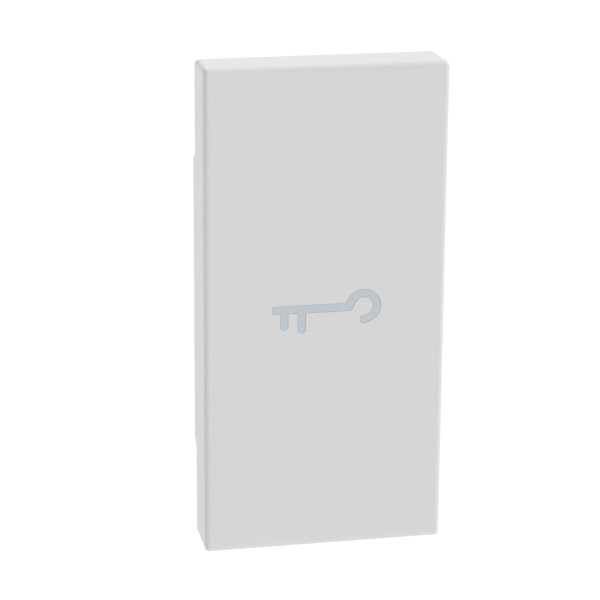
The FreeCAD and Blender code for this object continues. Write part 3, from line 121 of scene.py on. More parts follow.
def combine(
    tree: bpy.types.NodeTree, operation: str, *inputs: bpy.types.NodeSocket | float, clamp: bool = False
) -> bpy.types.NodeSocket:
    """Adds a math node.

    Args:
        tree: the node tree.
        operation: the kind of sum, in Blender's own word.
        inputs: sockets to link or numbers to set, in order.
        clamp: whether the result is held between 0 and 1.

    Returns:
        The socket with the result.
    """
    sockets = {i: value for i, value in enumerate(inputs) if isinstance(value, bpy.types.NodeSocket)}
    numbers = {i: value for i, value in enumerate(inputs) if i not in sockets}
    settings = {"operation": operation, "use_clamp": clamp, **numbers}
    return add_node(tree, "Math", settings, sockets).outputs[0]


def smooth_step(
    tree: bpy.types.NodeTree,
    value: bpy.types.NodeSocket,
    limits: tuple[float, float],
    levels: tuple[float, float] = (0.0, 1.0),
) -> bpy.types.NodeSocket:
    """Adds a node that goes softly from one level to another.

    Args:
        tree: the node tree.
        value: what decides about the level.
        limits: the values where the step starts and ends.
        levels: the levels before and behind the step.

    Returns:
        The socket with the level.
    """
    settings = {
        "interpolation_type": "SMOOTHSTEP",
        "From Min": limits[0],
        "From Max": limits[1],
        "To Min": levels[0],
        "To Max": levels[1],
    }
    return add_node(tree, "MapRange", settings, {"Value": value}).outputs["Result"]


class Pattern(Enum):
    """The relief that a way of making leaves on a surface."""

    GRAIN = "even fine grain, as from a spark-eroded mould"
    BRUSHED = "fine lines along X, as from rolling or drawing"
    TURNED = "fine rings around the axis of the piece"
    TRACKS = "copper tracks that stand out under a lacquer"
    FLECK = "small cells, as fibres or crystals near the skin"


@dataclass(frozen=True)
class Finish:
    """How a surface looks: what it is made of, its colour, its gloss and the trace of its making."""

    name: str
    slot: str
    colour: str
    roughness: float
    metallic: float = 0.0
    specular: float = 0.5
    pattern: Pattern = Pattern.GRAIN
    pattern_size: float = 0.3
    relief: float = 0.002
    mottle: float = 0.03
    mottle_size: float = 4.0
    gloss_change: float = 0.04
    soft_edge: float = 0.0
    transmission: float = 0.0
    scatter: float = 0.0
    centre: tuple[float, float, float] = (0.0, 0.0, 0.0)
    high_colour: str = ""
    marks: tuple[tuple[float, float, float], ...] = ()
    mark_depth: float = 0.1
    mark_edge: float = 0.05

    def place(self, tree: bpy.types.NodeTree, size: tuple[float, float, float]) -> bpy.types.NodeSocket:
        """Gives positions on the object, counted in pattern sizes.

        Args:
            tree: the material's node tree.
            size: pattern size along X, Y and Z in mm.

        Returns:
            The vector socket with the scaled positions.
        """
        where = add_node(tree, "TexCoord")
        middle = tuple(MM * c for c in self.centre)
        moved = add_node(
            tree, "VectorMath", {"operation": "SUBTRACT", 1: middle}, {0: where.outputs["Object"]}
        )
        scale = tuple(1 / (MM * s) for s in size)
        scaled = add_node(
            tree, "VectorMath", {"operation": "MULTIPLY", 1: scale}, {0: moved.outputs["Vector"]}
        )
        return scaled.outputs["Vector"]

    def height(self, tree: bpy.types.NodeTree) -> bpy.types.NodeSocket:
        """Builds the pattern's height field, from 0 to 1.

        Args:
            tree: the material's node tree.

        Returns:
            The socket with the height.
        """
        fine = self.pattern_size
        if self.pattern is Pattern.BRUSHED:
            where = self.place(tree, (fine * LINE_STRETCH, fine, fine))
            lines = add_node(tree, "TexNoise", {"Scale": 1.0, "Detail": 3.0}, {"Vector": where})
            return lines.outputs["Fac"]
        if self.pattern is Pattern.TURNED:
            where = self.place(tree, (fine, fine * ENDLESS, fine))
            rings = add_node(
                tree,
                "TexWave",
                {
                    "wave_type": "RINGS",
                    "rings_direction": "SPHERICAL",
                    "Scale": 1.0,
                    "Distortion": 0.6,
                    "Detail": 2.0,
                },
                {"Vector": where},
            )
            return rings.outputs["Fac"]
        if self.pattern is Pattern.TRACKS:
            return self.tracks(tree)
        where = self.place(tree, (fine, fine, fine))
        if self.pattern is Pattern.FLECK:
            cells = add_node(tree, "TexVoronoi", {"Scale": 1.0}, {"Vector": where})
            return cells.outputs["Distance"]
        grain = add_node(
            tree, "TexNoise", {"Scale": 1.0, "Detail": 4.0, "Roughness": 0.6}, {"Vector": where}
        )
        return grain.outputs["Fac"]

    def tracks(self, tree: bpy.types.NodeTree) -> bpy.types.NodeSocket:
        """Builds the relief of copper tracks, 1 on copper and 0 between.

        The board is split into square-edged fields. Each field draws a number from 0 to 1: low numbers
        give tracks that run across, middle ones give tracks that run up, and high ones are all copper.
        Over one pitch the distance to the nearest line decides between track and gap, and a bare strip
        is left where two fields meet.

        Args:
            tree: the material's node tree.

        Returns:
            The socket with the relief.
        """
        pitch = self.pattern_size
        field_width = 8 * pitch
        upright_from, filled_from = 0.4, 0.8
        track_edge, field_edge = (0.24, 0.3), (0.44, 0.47)
        fields = add_node(
            tree,
            "TexVoronoi",
            {"distance": "CHEBYCHEV", "Scale": 1.0, "Randomness": 0.75},
            {"Vector": self.place(tree, (field_width, ENDLESS, field_width))},
        )
        drawn = add_node(tree, "SeparateColor", None, {0: fields.outputs["Color"]}).outputs["Red"]
        parts = add_node(tree, "SeparateXYZ", None, {0: self.place(tree, (pitch,) * 3)})
        upright = combine(tree, "GREATER_THAN", drawn, upright_from)
        all_copper = combine(tree, "GREATER_THAN", drawn, filled_from)
        along = add_node(
            tree,
            "Mix",
            {"data_type": "FLOAT"},
            {0: upright, 2: parts.outputs["Z"], 3: parts.outputs["X"]},
        )
        line = combine(tree, "PINGPONG", along.outputs[0], 0.5)
        copper = smooth_step(tree, line, track_edge)
        within = smooth_step(tree, fields.outputs["Distance"], field_edge, (1.0, 0.0))
        return combine(tree, "MAXIMUM", combine(tree, "MULTIPLY", copper, within), all_copper)

    def marked(self, tree: bpy.types.NodeTree, height: bpy.types.NodeSocket) -> bpy.types.NodeSocket:
        """Sinks the round marks that ejector pins leave into the height field.

        A mark lowers the surface where the distance to its centre, seen from the front, is less than its
        radius, with a soft step on both sides of its edge.

        Args:
            tree: the material's node tree.
            height: the height field without marks.

        Returns:
            The height field with them.
        """
        where = add_node(tree, "TexCoord").outputs["Object"]
        seen = add_node(tree, "VectorMath", {"operation": "MULTIPLY", 1: (1 / MM, 0, 1 / MM)}, {0: where})
        for across, up, radius in self.marks:
            away = add_node(
                tree,
                "VectorMath",
                {"operation": "DISTANCE", 1: (across, 0, up)},
                {0: seen.outputs["Vector"]},
            )
            limits = (radius - self.mark_edge, radius + self.mark_edge)
            levels = (-self.mark_depth / self.relief, 0.0)
            step = smooth_step(tree, away.outputs["Value"], limits, levels)
            height = combine(tree, "ADD", height, step)
        return height

    def material(self) -> bpy.types.Material:
        """Builds the material, or gives the one already built.

        Returns:
            A node material: mottled colour, changing gloss, relief and softened edges.
        """
        if self.name in bpy.data.materials:
            return bpy.data.materials[self.name]
        made = bpy.data.materials.new(self.name)
        made.use_nodes = True
        tree = made.node_tree
        tree.nodes.clear()
        broad = self.place(tree, (self.mottle_size,) * 3)
        cloud = add_node(tree, "TexNoise", {"Scale": 1.0, "Detail": 3.0}, {"Vector": broad})
        base = np.array(linear(self.colour)[:3])
        low, high = base * (1 - self.mottle), np.minimum(base * (1 + self.mottle), 1.0)
        colour = add_node(
            tree,
            "Mix",
            {"data_type": "RGBA", 6: (*low, 1.0), 7: (*high, 1.0)},
            {0: cloud.outputs["Fac"]},
        )
        height = self.height(tree)
        if self.high_colour:
            colour = add_node(
                tree,
                "Mix",
                {"data_type": "RGBA", 7: linear(self.high_colour)},
                {0: height, 6: colour.outputs[2]},
            )
        gloss = add_node(
            tree,
            "MapRange",
            {
                "To Min": max(self.roughness - self.gloss_change, SMOOTHEST),
                "To Max": self.roughness + self.gloss_change,
            },
            {"Value": cloud.outputs["Fac"]},
        )
        links = {"Height": self.marked(tree, height)}
        if self.soft_edge:
            soft = add_node(tree, "Bevel", {"samples": 6, "Radius": self.soft_edge * MM})
            links["Normal"] = soft.outputs["Normal"]
        relief = add_node(tree, "Bump", {"Strength": 1.0, "Distance": self.relief * MM}, links)
        shader = add_node(
            tree,
            "BsdfPrincipled",
            {
                "Metallic": self.metallic,
                "Specular IOR Level": self.specular,
                "Transmission Weight": self.transmission,
                "Subsurface Weight": self.scatter,
                "Subsurface Radius": (1.0, 1.0, 1.0),
                "Subsurface Scale": SCATTER_DEPTH * MM,
            },
            {
                "Base Color": colour.outputs[2],
                "Roughness": gloss.outputs["Result"],
                "Normal": relief.outputs["Normal"],
            },
        )
        add_node(tree, "OutputMaterial", None, {"Surface": shader.outputs["BSDF"]})
        return made

    def paint(self, thing: bpy.types.Object) -> None:
        """Puts this finish on an object as its only material."""
        thing.data.materials.clear()
        thing.data.materials.append(self.material())


# The cover reads as a clean white with a very soft sheen and no visible grain at arm's length
COVER = Finish(
    "Moulded white ABS, satin", "cover_white", "#E9E9E9", 0.72, specular=0.2, relief=0.0012, mottle=0.006
)
# The symbol is a milky blue-grey, a little glossier than the cover around it
SYMBOL = Finish(
    "Polished translucent polycarbonate, pale blue", "symbol_blue", "#CCD6DE", 0.3, relief=0.0006, mottle=0.01
)
# Clear with bright edges; the lamp shows through it
GUIDE = Finish(
    "Polished clear acrylic", "guide_clear", "#F4F6F6", 0.08, relief=0.0004, transmission=0.92, mottle=0.01
)
# A duller and slightly warmer white than the cover, since it is never seen in use
CARRIER = Finish("Moulded natural ABS", "carrier_white", "#DEDDD6", 0.5, soft_edge=0.1)
# Bright drawn wire, dark where it mirrors the gaps between the turns
SPRING = Finish(
    "Drawn spring steel wire", "spring_steel", "#B9BABB", 0.28, metallic=1.0, pattern_size=0.05
)
# Light grey with a fine spark-eroded grain, drawn coarse enough to show, and shallow pin marks
HOUSING = Finish(
    "Moulded glass-filled polyamide, light grey",
    "frame_grey",
    "#BCBCBB",
    0.52,
    pattern_size=0.4,
    relief=0.16,
    mottle=0.05,
    mottle_size=1.6,
    soft_edge=0.12,
    marks=((-6.2, 3.4, 0.9), (6.2, 3.4, 0.9), (-6.2, 10.6, 0.9), (6.2, 10.6, 0.9)),
)
# The same plastic from its own mould: the grain is there, the pin marks are on its hidden side
FRAME = replace(HOUSING, name="Moulded glass-filled polyamide, light grey, front", marks=())
# Deep green and glossy, with slightly paler tracks that stand out, at a 0.5 mm pitch
BOARD = Finish(
    "Glass-epoxy laminate with green solder mask",
    "board_green",
    "#1B5235",
    0.25,
    pattern=Pattern.TRACKS,
    pattern_size=0.5,
    relief=0.03,
    mottle=0.08,
    soft_edge=0.04,
    high_colour="#2F7A50",
)
# Matt black with a soft highlight along the edges
SWITCH = Finish("Moulded black polyamide", "switch_black", "#232426", 0.5, soft_edge=0.08)
# The same black plastic where it was melted flat: smoother, with a round highlight
STUD = Finish("Heat-formed black polyamide", "switch_black", "#28292B", 0.34, pattern_size=0.3)
# Bright grey sheet with the rolling lines running across
TIN = Finish(
    "Rolled sheet steel, tin plated",
    "tin_sheet",
    "#C9CACA",
    0.3,
    metallic=1.0,
    pattern=Pattern.BRUSHED,
    pattern_size=0.06,
    soft_edge=0.06,
)
# Bright and slightly lumpy, with a softer mirror than the sheet beside it
SOLDER = Finish(
    "Reflowed tin solder", "tin_sheet", "#D2D3D3", 0.2, metallic=1.0, pattern_size=0.25, relief=0.012
)
# A creamy white with a waxy sheen
PLUNGER = Finish("Moulded white acetal", "plunger_white", "#E2E0D8", 0.36, pattern_size=0.15)
# Grey, dull and soft, with no hard highlight
DOME = Finish("Pressed silicone rubber", "dome_rubber", "#8C9096", 0.7, relief=0.003, scatter=0.2)
# The white frame that holds the lamp's window
LAMP = Finish("Moulded white lamp body", "lamp_white", "#E9E7DF", 0.4, relief=0.001)
# A warm yellow window with fine grains in clear rubber
PHOSPHOR = Finish(
    "Cast silicone with yellow phosphor",
    "lamp_white",
    "#E8D26A",
    0.3,
    pattern=Pattern.FLECK,
    pattern_size=0.06,
    relief=0.002,
    scatter=0.3,
)
# Nearly black, with a faint sparkle of the filler and the round dimple that marks its first pin
CHIP = Finish(
    "Transfer-moulded epoxy, black",
    "chip_black",
    "#2A2A2C",
    0.6,
    pattern=Pattern.FLECK,
    pattern_size=0.08,
    relief=0.006,
    soft_edge=0.05,
    marks=((-7.4, 3.7, 0.22),),
)
# Tan ceramic with a fine sugar-like skin
CERAMIC = Finish(
    "Fired tan ceramic",
    "ceramic_tan",
    "#A98E6E",
    0.45,
    pattern=Pattern.FLECK,
    pattern_size=0.1,
    soft_edge=0.04,
)
# A mid grey, so that the button is found on the light housing
BUTTON = Finish("Moulded grey ABS", "button_grey", "#7F8489", 0.42, pattern_size=0.2, relief=0.006)
# Satin nickel with fine rings around the middle
CELL = Finish(
    "Drawn steel can, nickel plated",
    "cell_steel",
    "#C4C3BE",
    0.26,
    metallic=1.0,
    pattern=Pattern.TURNED,
    pattern_size=0.35,
    centre=(0.0, 0.0, -9.0),
)
# Warm yellow springs that stand out on the green board
CONTACT = Finish(
    "Stamped phosphor bronze, gold plated",
    "contact_gold",
    "#D9B36A",
    0.24,
    metallic=1.0,
    pattern=Pattern.BRUSHED,
    pattern_size=0.05,
    soft_edge=0.05,
)
# Cool bright heads with a faint blue passivation
SCREW = Finish(
    "Cold-headed steel, zinc plated", "screw_steel", "#B8BCC2", 0.3, metallic=1.0, pattern_size=0.08
)

NODE_FINISHES = {
    "key_cover": COVER,
    "key_symbol": SYMBOL,
    "light_guide": GUIDE,
    "key_carrier": CARRIER,
    "upper_return_spring": SPRING,
    "lower_return_spring": SPRING,
    "stabiliser_wire": SPRING,
    "front_frame": FRAME,
    "rear_housing": HOUSING,
    "battery_door": FRAME,
    "circuit_board": BOARD,
    "radio_board": BOARD,
    "upper_switch_base": SWITCH,
    "lower_switch_base": SWITCH,
    "pairing_switch": SWITCH,
    "upper_switch_cover": TIN,
    "lower_switch_cover": TIN,
    "switch_terminals": TIN,
    "radio_shield": TIN,
    "crystal": TIN,
    "upper_switch_plunger": PLUNGER,
    "lower_switch_plunger": PLUNGER,
    "pairing_plunger": PLUNGER,
    "upper_switch_dome": DOME,
    "lower_switch_dome": DOME,
    "status_light": LAMP,
    "controller_chip": CHIP,
    "capacitors_and_resistors": CERAMIC,
    "pairing_button": BUTTON,
    "coin_cell": CELL,
    "negative_contact": CONTACT,
    "positive_contact": CONTACT,
    "case_screws": SCREW,
}


# Meshes from grids of points


def strips(rows: int, columns: int, start: int = 0) -> np.ndarray:
    """Joins neighbouring closed loops of points with four-cornered faces.

    Args:
        rows: number of loops.
        columns: number of points in each loop.
        start: number of the first point.

    Returns:
        One row of four corner numbers per face.
    """
    number = np.arange(rows * columns).reshape(rows, columns) + start
    following = np.roll(number, -1, axis=1)
    return np.stack([number[:-1], following[:-1], following[1:], number[1:]], axis=-1).reshape(-1, 4)


def filled(loops: Sequence[np.ndarray]) -> np.ndarray:
    """Fills the flat region inside the first loop and outside the others with triangles.

    A triangle belongs to the region when a line from its middle crosses the loops an odd number of times.

    Args:
        loops: closed outlines in the plane, one row per point.

    Returns:
        One row of three corner numbers per triangle, counting the loops' points in order.
    """
    points = np.vstack(loops)
    starts = np.cumsum([0, *(len(loop) for loop in loops[:-1])])
    edges = np.vstack(
        [
            np.column_stack([s + np.arange(len(loop)), s + (np.arange(len(loop)) + 1) % len(loop)])
            for s, loop in zip(starts, loops)
        ]
    )
    same_place = 1e-6
    _, _, faces, origin, _, _ = delaunay_2d_cdt(points.tolist(), edges.tolist(), [], 0, same_place, True)
    number = np.array([source[0] for source in origin])
    corners = number[np.array(faces)]
    middle = points[corners].mean(axis=1)
    a, b = points[edges[:, 0]], points[edges[:, 1]]
    above = (a[:, 1] > middle[:, 1:2]) != (b[:, 1] > middle[:, 1:2])
    rise = np.where(b[:, 1] == a[:, 1], 1.0, b[:, 1] - a[:, 1])
    cross = a[:, 0] + (middle[:, 1:2] - a[:, 1]) * (b[:, 0] - a[:, 0]) / rise
    inside = (above & (middle[:, 0:1] < cross)).sum(axis=1) % 2 == 1
    return corners[inside]


def renumbered(faces: np.ndarray, count: int, first_start: int, second_start: int) -> np.ndarray:
    """Gives faces between two loops the numbers that the loops' points have in their piece.

    Args:
        faces: corner numbers that count the first loop's points, then the second loop's.
        count: number of points in the first loop.
        first_start: number of the first loop's first point in the piece.
        second_start: number of the second loop's first point in the piece.

    Returns:
        The faces with the piece's numbers.
    """
    return np.where(faces < count, faces + first_start, faces - count + second_start)


def circle_angles(steps: int) -> np.ndarray:
    """Gives evenly spaced angles once round, in radians."""
    return np.arange(steps) * (2 * math.pi / steps)


def bent(centre: tuple[float, float], radius: float, start: float, end: float, steps: int) -> np.ndarray:
    """Gives points on an arc in the plane, angles in degrees."""
    angle = np.radians(np.linspace(start, end, steps + 1))
    return np.column_stack([centre[0] + radius * np.cos(angle), centre[1] + radius * np.sin(angle)])


def flat(outline: np.ndarray, depth: float) -> np.ndarray:
    """Puts a flat outline at one depth."""
    return np.column_stack([outline[:, 0], np.full(len(outline), depth), outline[:, 1]])


def moved_in(loop: np.ndarray, distance: float) -> np.ndarray:
    """Moves a closed outline inward by a small distance.

    Each point moves along the mean of the normals of its two edges, further at a corner, so that both
    edges keep their distance.

    Args:
        loop: outline, one row per point, in either direction.
        distance: how far each edge moves.

    Returns:
        The moved outline.
    """
    edge = np.roll(loop, -1, axis=0) - loop
    edge /= np.linalg.norm(edge, axis=1, keepdims=True)
    area = np.sum(loop[:, 0] * np.roll(loop[:, 1], -1) - np.roll(loop[:, 0], -1) * loop[:, 1])
    normal = np.column_stack([-edge[:, 1], edge[:, 0]]) * np.sign(area)
    before = np.roll(normal, 1, axis=0)
    mean = normal + before
    mean /= np.maximum(np.linalg.norm(mean, axis=1, keepdims=True), 1e-9)
    sharpest = 0.4
    stretch = np.clip(np.einsum("ij,ij->i", mean, normal), sharpest, 1.0)
    return loop + mean * (distance / stretch)[:, None]


class Skin:
    """Gathers the points and faces of one piece, in mm, and makes its object."""

    def __init__(self) -> None:
        """Starts with no points."""
        self.points: list[np.ndarray] = []
        self.faces: list[np.ndarray] = []
        self.count = 0

    def add(self, points: np.ndarray, *faces: np.ndarray) -> None:
        """Adds one closed skin.

        Args:
            points: corner positions.
            faces: arrays of corner numbers within these points.
        """
        self.faces += [group + self.count for group in faces]
        self.points.append(points)
        self.count += len(points)

    def add_stack(self, levels: Sequence[tuple[np.ndarray, float]]) -> None:
        """Adds a closed body from flat outlines, one behind the other.

        Args:
            levels: outlines with the same number of points, each with its depth.
        """
        count = len(levels[0][0])
        front = filled([levels[0][0]])
        back = filled([levels[-1][0]])
        points = np.vstack([flat(outline, depth) for outline, depth in levels])
        self.add(points, strips(len(levels), count), front, back + (len(levels) - 1) * count)

    def add_block(self, low: Sequence[float], high: Sequence[float], edge: float) -> None:
        """Adds a block with rounded upright edges and chamfered ends.

        Args:
            low: lowest corner.
            high: highest corner.
            edge: radius of the edges along Y; the chamfers at both ends are a little smaller.
        """
        cut = edge * 0.6
        outline = box_outline(low, high, edge, 3)
        small = moved_in(outline, cut)
        self.add_stack(
            [(small, low[1]), (outline, low[1] + cut), (outline, high[1] - cut), (small, high[1])]
        )

    def add_tube(self, rings: np.ndarray, poles: Sequence[Sequence[float]]) -> None:
        """Adds a skin through closed rings of points that draws together at both ends.

        Args:
            rings: positions, by ring and place around it.
            poles: the point in front of the first ring and the one behind the last.
        """
        rows, columns = rings.shape[:2]
        count = rows * columns
        first = np.arange(columns)
        last = first + count - columns
        self.add(
            np.vstack([rings.reshape(-1, 3), poles]),
            strips(rows, columns),
            np.column_stack([np.roll(first, -1), first, np.full(columns, count)]),
            np.column_stack([last, np.roll(last, -1), np.full(columns, count + 1)]),
        )

    def add_turned(self, profile: np.ndarray, centre: tuple[float, float], steps: int = 64) -> None:
        """Adds a body turned around an axis along Y.

        Args:
            profile: radius and place along Y, from one point on the axis to the other.
            centre: the axis, along X and Z.
            steps: number of points around.
        """
        angle = circle_angles(steps)
        radius, depth = profile[1:-1, 0:1], profile[1:-1, 1:2]
        rings = np.stack(
            [
                centre[0] + radius * np.cos(angle),
                np.broadcast_to(depth, (len(radius), steps)),
                centre[1] + radius * np.sin(angle),
            ],
            axis=-1,
        )
        self.add_tube(rings, [(centre[0], end, centre[1]) for end in profile[[0, -1], 1]])

    def piece(
        self, name: str, finish: Finish, body: str, *nodes: str, sharp: float = 35.0
    ) -> bpy.types.Object:
        """Makes the object, painted and riding on its body.

        Args:
            name: name of the object.
            finish: its finish.
            body: the body that it moves with.
            nodes: CAD nodes that it stands for.
            sharp: angle in degrees above which an edge stays sharp.

        Returns:
            The object.
        """
        mesh = bpy.data.meshes.new(name)
        points = np.vstack(self.points) * MM
        sizes = np.concatenate([np.full(len(group), group.shape[1]) for group in self.faces])
        corners = np.concatenate([group.ravel() for group in self.faces])
        mesh.vertices.add(len(points))
        mesh.vertices.foreach_set("co", points.ravel())
        mesh.loops.add(len(corners))
        mesh.loops.foreach_set("vertex_index", corners)
        mesh.polygons.add(len(sizes))
        mesh.polygons.foreach_set("loop_start", np.concatenate([[0], np.cumsum(sizes)[:-1]]))
        mesh.update(calc_edges=True)
        mesh.validate()
        turned = bmesh.new()
        turned.from_mesh(mesh)
        bmesh.ops.recalc_face_normals(turned, faces=turned.faces)
        turned.to_mesh(mesh)
        turned.free()
        mesh.polygons.foreach_set("use_smooth", np.ones(len(mesh.polygons), bool))
        mesh.set_sharp_from_angle(angle=math.radians(sharp))
        thing = bpy.data.objects.new(name, mesh)
        bpy.context.scene.collection.objects.link(thing)
        weighted = thing.modifiers.new("Even normals", "WEIGHTED_NORMAL")
        weighted.keep_sharp = True
        finish.paint(thing)
        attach(thing, body)
        if nodes:
            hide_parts(*nodes)
        LOG.info("%s: %d triangles on %s", name, int((sizes - 2).sum()), body)
        return thing


def rounded_outline(
    half_across: float, half_up: float, radius: float, steps: int, stations: Sequence[float] = ()
) -> np.ndarray:
    """Gives a rectangle with rounded corners as a closed loop.

    Args:
        half_across: half its width.
        half_up: half its height.
        radius: corner radius.
        steps: steps around each corner.
        stations: heights at which the left and right sides get a point besides their ends.

    Returns:
        The points, starting at the lower end of the right side.
    """
    a, b = half_across - radius, half_up - radius
    heights = np.asarray(stations, float)
    right = np.column_stack([np.full(len(heights), half_across), heights])
    left = np.column_stack([np.full(len(heights), -half_across), heights[::-1]])
    return np.vstack(
        [
            right,
            bent((a, b), radius, 0, 90, steps),
            bent((-a, b), radius, 90, 180, steps),
            left,
            bent((-a, -b), radius, 180, 270, steps),
            bent((a, -b), radius, 270, 360, steps),
        ]
    )


def box_outline(low: Sequence[float], high: Sequence[float], radius: float, steps: int) -> np.ndarray:
    """Gives a box seen from the front, with rounded corners, as a closed loop.

    Args:
        low: lowest corner of the box.
        high: highest corner of the box.
        radius: radius of the rounded corners.
        steps: steps around each corner.

    Returns:
        The points, starting at the lower end of the right side.
    """
    outline = rounded_outline((high[0] - low[0]) / 2, (high[2] - low[2]) / 2, radius, steps)
    return outline + ((high[0] + low[0]) / 2, (high[2] + low[2]) / 2)


# The key: cover and symbol


@dataclass(frozen=True)
class KeyFigure:
    """The door-key pictogram, measured on the face of the cover."""

    stroke: float = 0.74
    rise: float = 0.375
    left: float = -4.93
    outer_tooth: float = -3.82
    inner_tooth: float = -2.21
    outer_low: float = -1.51
    inner_low: float = -1.87
    tooth_fillet: float = 0.07
    ring_across: float = 3.48
    ring_up: float = 0.385
    ring_radius: float = 1.22
    ring_end: float = -88.0
    bend_top: float = 1.83
    bend_low: float = 2.38
    bend_before: float = 0.1
    bend_after: tuple[float, float] = (0.045, 0.07)
    end_round: float = 0.2

    def outline(self) -> np.ndarray:
        """Walks round the figure: shaft top, ring outside, ring inside, shaft underside with its teeth.

        The straight stroke between shaft and ring touches both circles, so its ends are the tangent
        points seen from the shaft's corners. The upper corner is softened by two points.

        Returns:
            The closed outline, one row per point.
        """
        half, corner = self.stroke / 2, self.end_round
        top, low = self.rise + half, self.rise - half
        ring = (self.ring_across, self.ring_up)
        outer, inner = self.ring_radius + half, self.ring_radius - half
        outer_start = self.touch((self.bend_top, top), outer)
        inner_end = self.touch((self.bend_low, low), inner)
        tip = bent(ring, self.ring_radius, self.ring_end, self.ring_end, 0)[0]
        bend = [
            (self.bend_top - self.bend_before, top),
            (self.bend_top + self.bend_after[0], top + self.bend_after[1]),
        ]
        return np.vstack(
            [
                bent((self.left + corner, top - corner), corner, 180, 90, 6),
                bend,
                bent(ring, outer, outer_start, self.ring_end, 64),
                bent(tip, half, self.ring_end, self.ring_end - 180, 20)[1:],
                bent(ring, inner, self.ring_end, inner_end, 56)[1:],
                [(self.bend_low, low)],
                self.tooth(self.inner_tooth, self.inner_low, low),
                self.tooth(self.outer_tooth, self.outer_low, low),
                bent((self.left + corner, low + corner), corner, 270, 180, 6),
            ]
        )

    def touch(self, corner: tuple[float, float], radius: float) -> float:
        """Finds where the line from a corner touches a circle around the ring's centre.

        Args:
            corner: the point outside the circle.
            radius: the circle's radius.

        Returns:
            The angle in degrees of the upper of its two touching points.
        """
        across, up = corner[0] - self.ring_across, corner[1] - self.ring_up
        angle = math.degrees(math.atan2(up, across)) % 360
        return angle - math.degrees(math.acos(radius / math.hypot(across, up)))

    def tooth(self, across: float, low: float, root: float) -> np.ndarray:
        """Gives one tooth with small fillets at its root and a round end, from right to left.

        Args:
            across: its middle line.
            low: its lower end.
            root: the shaft's underside.

        Returns:
            The points of its outline.
        """
        half, fillet = self.stroke / 2, self.tooth_fillet
        return np.vstack(
            [
                bent((across + half + fillet, root - fillet), fillet, 90, 180, 4),
                bent((across, low + half), half, 0, -180, 20),
                bent((across - half - fillet, root - fillet), fillet, 0, 90, 4),
            ]
        )


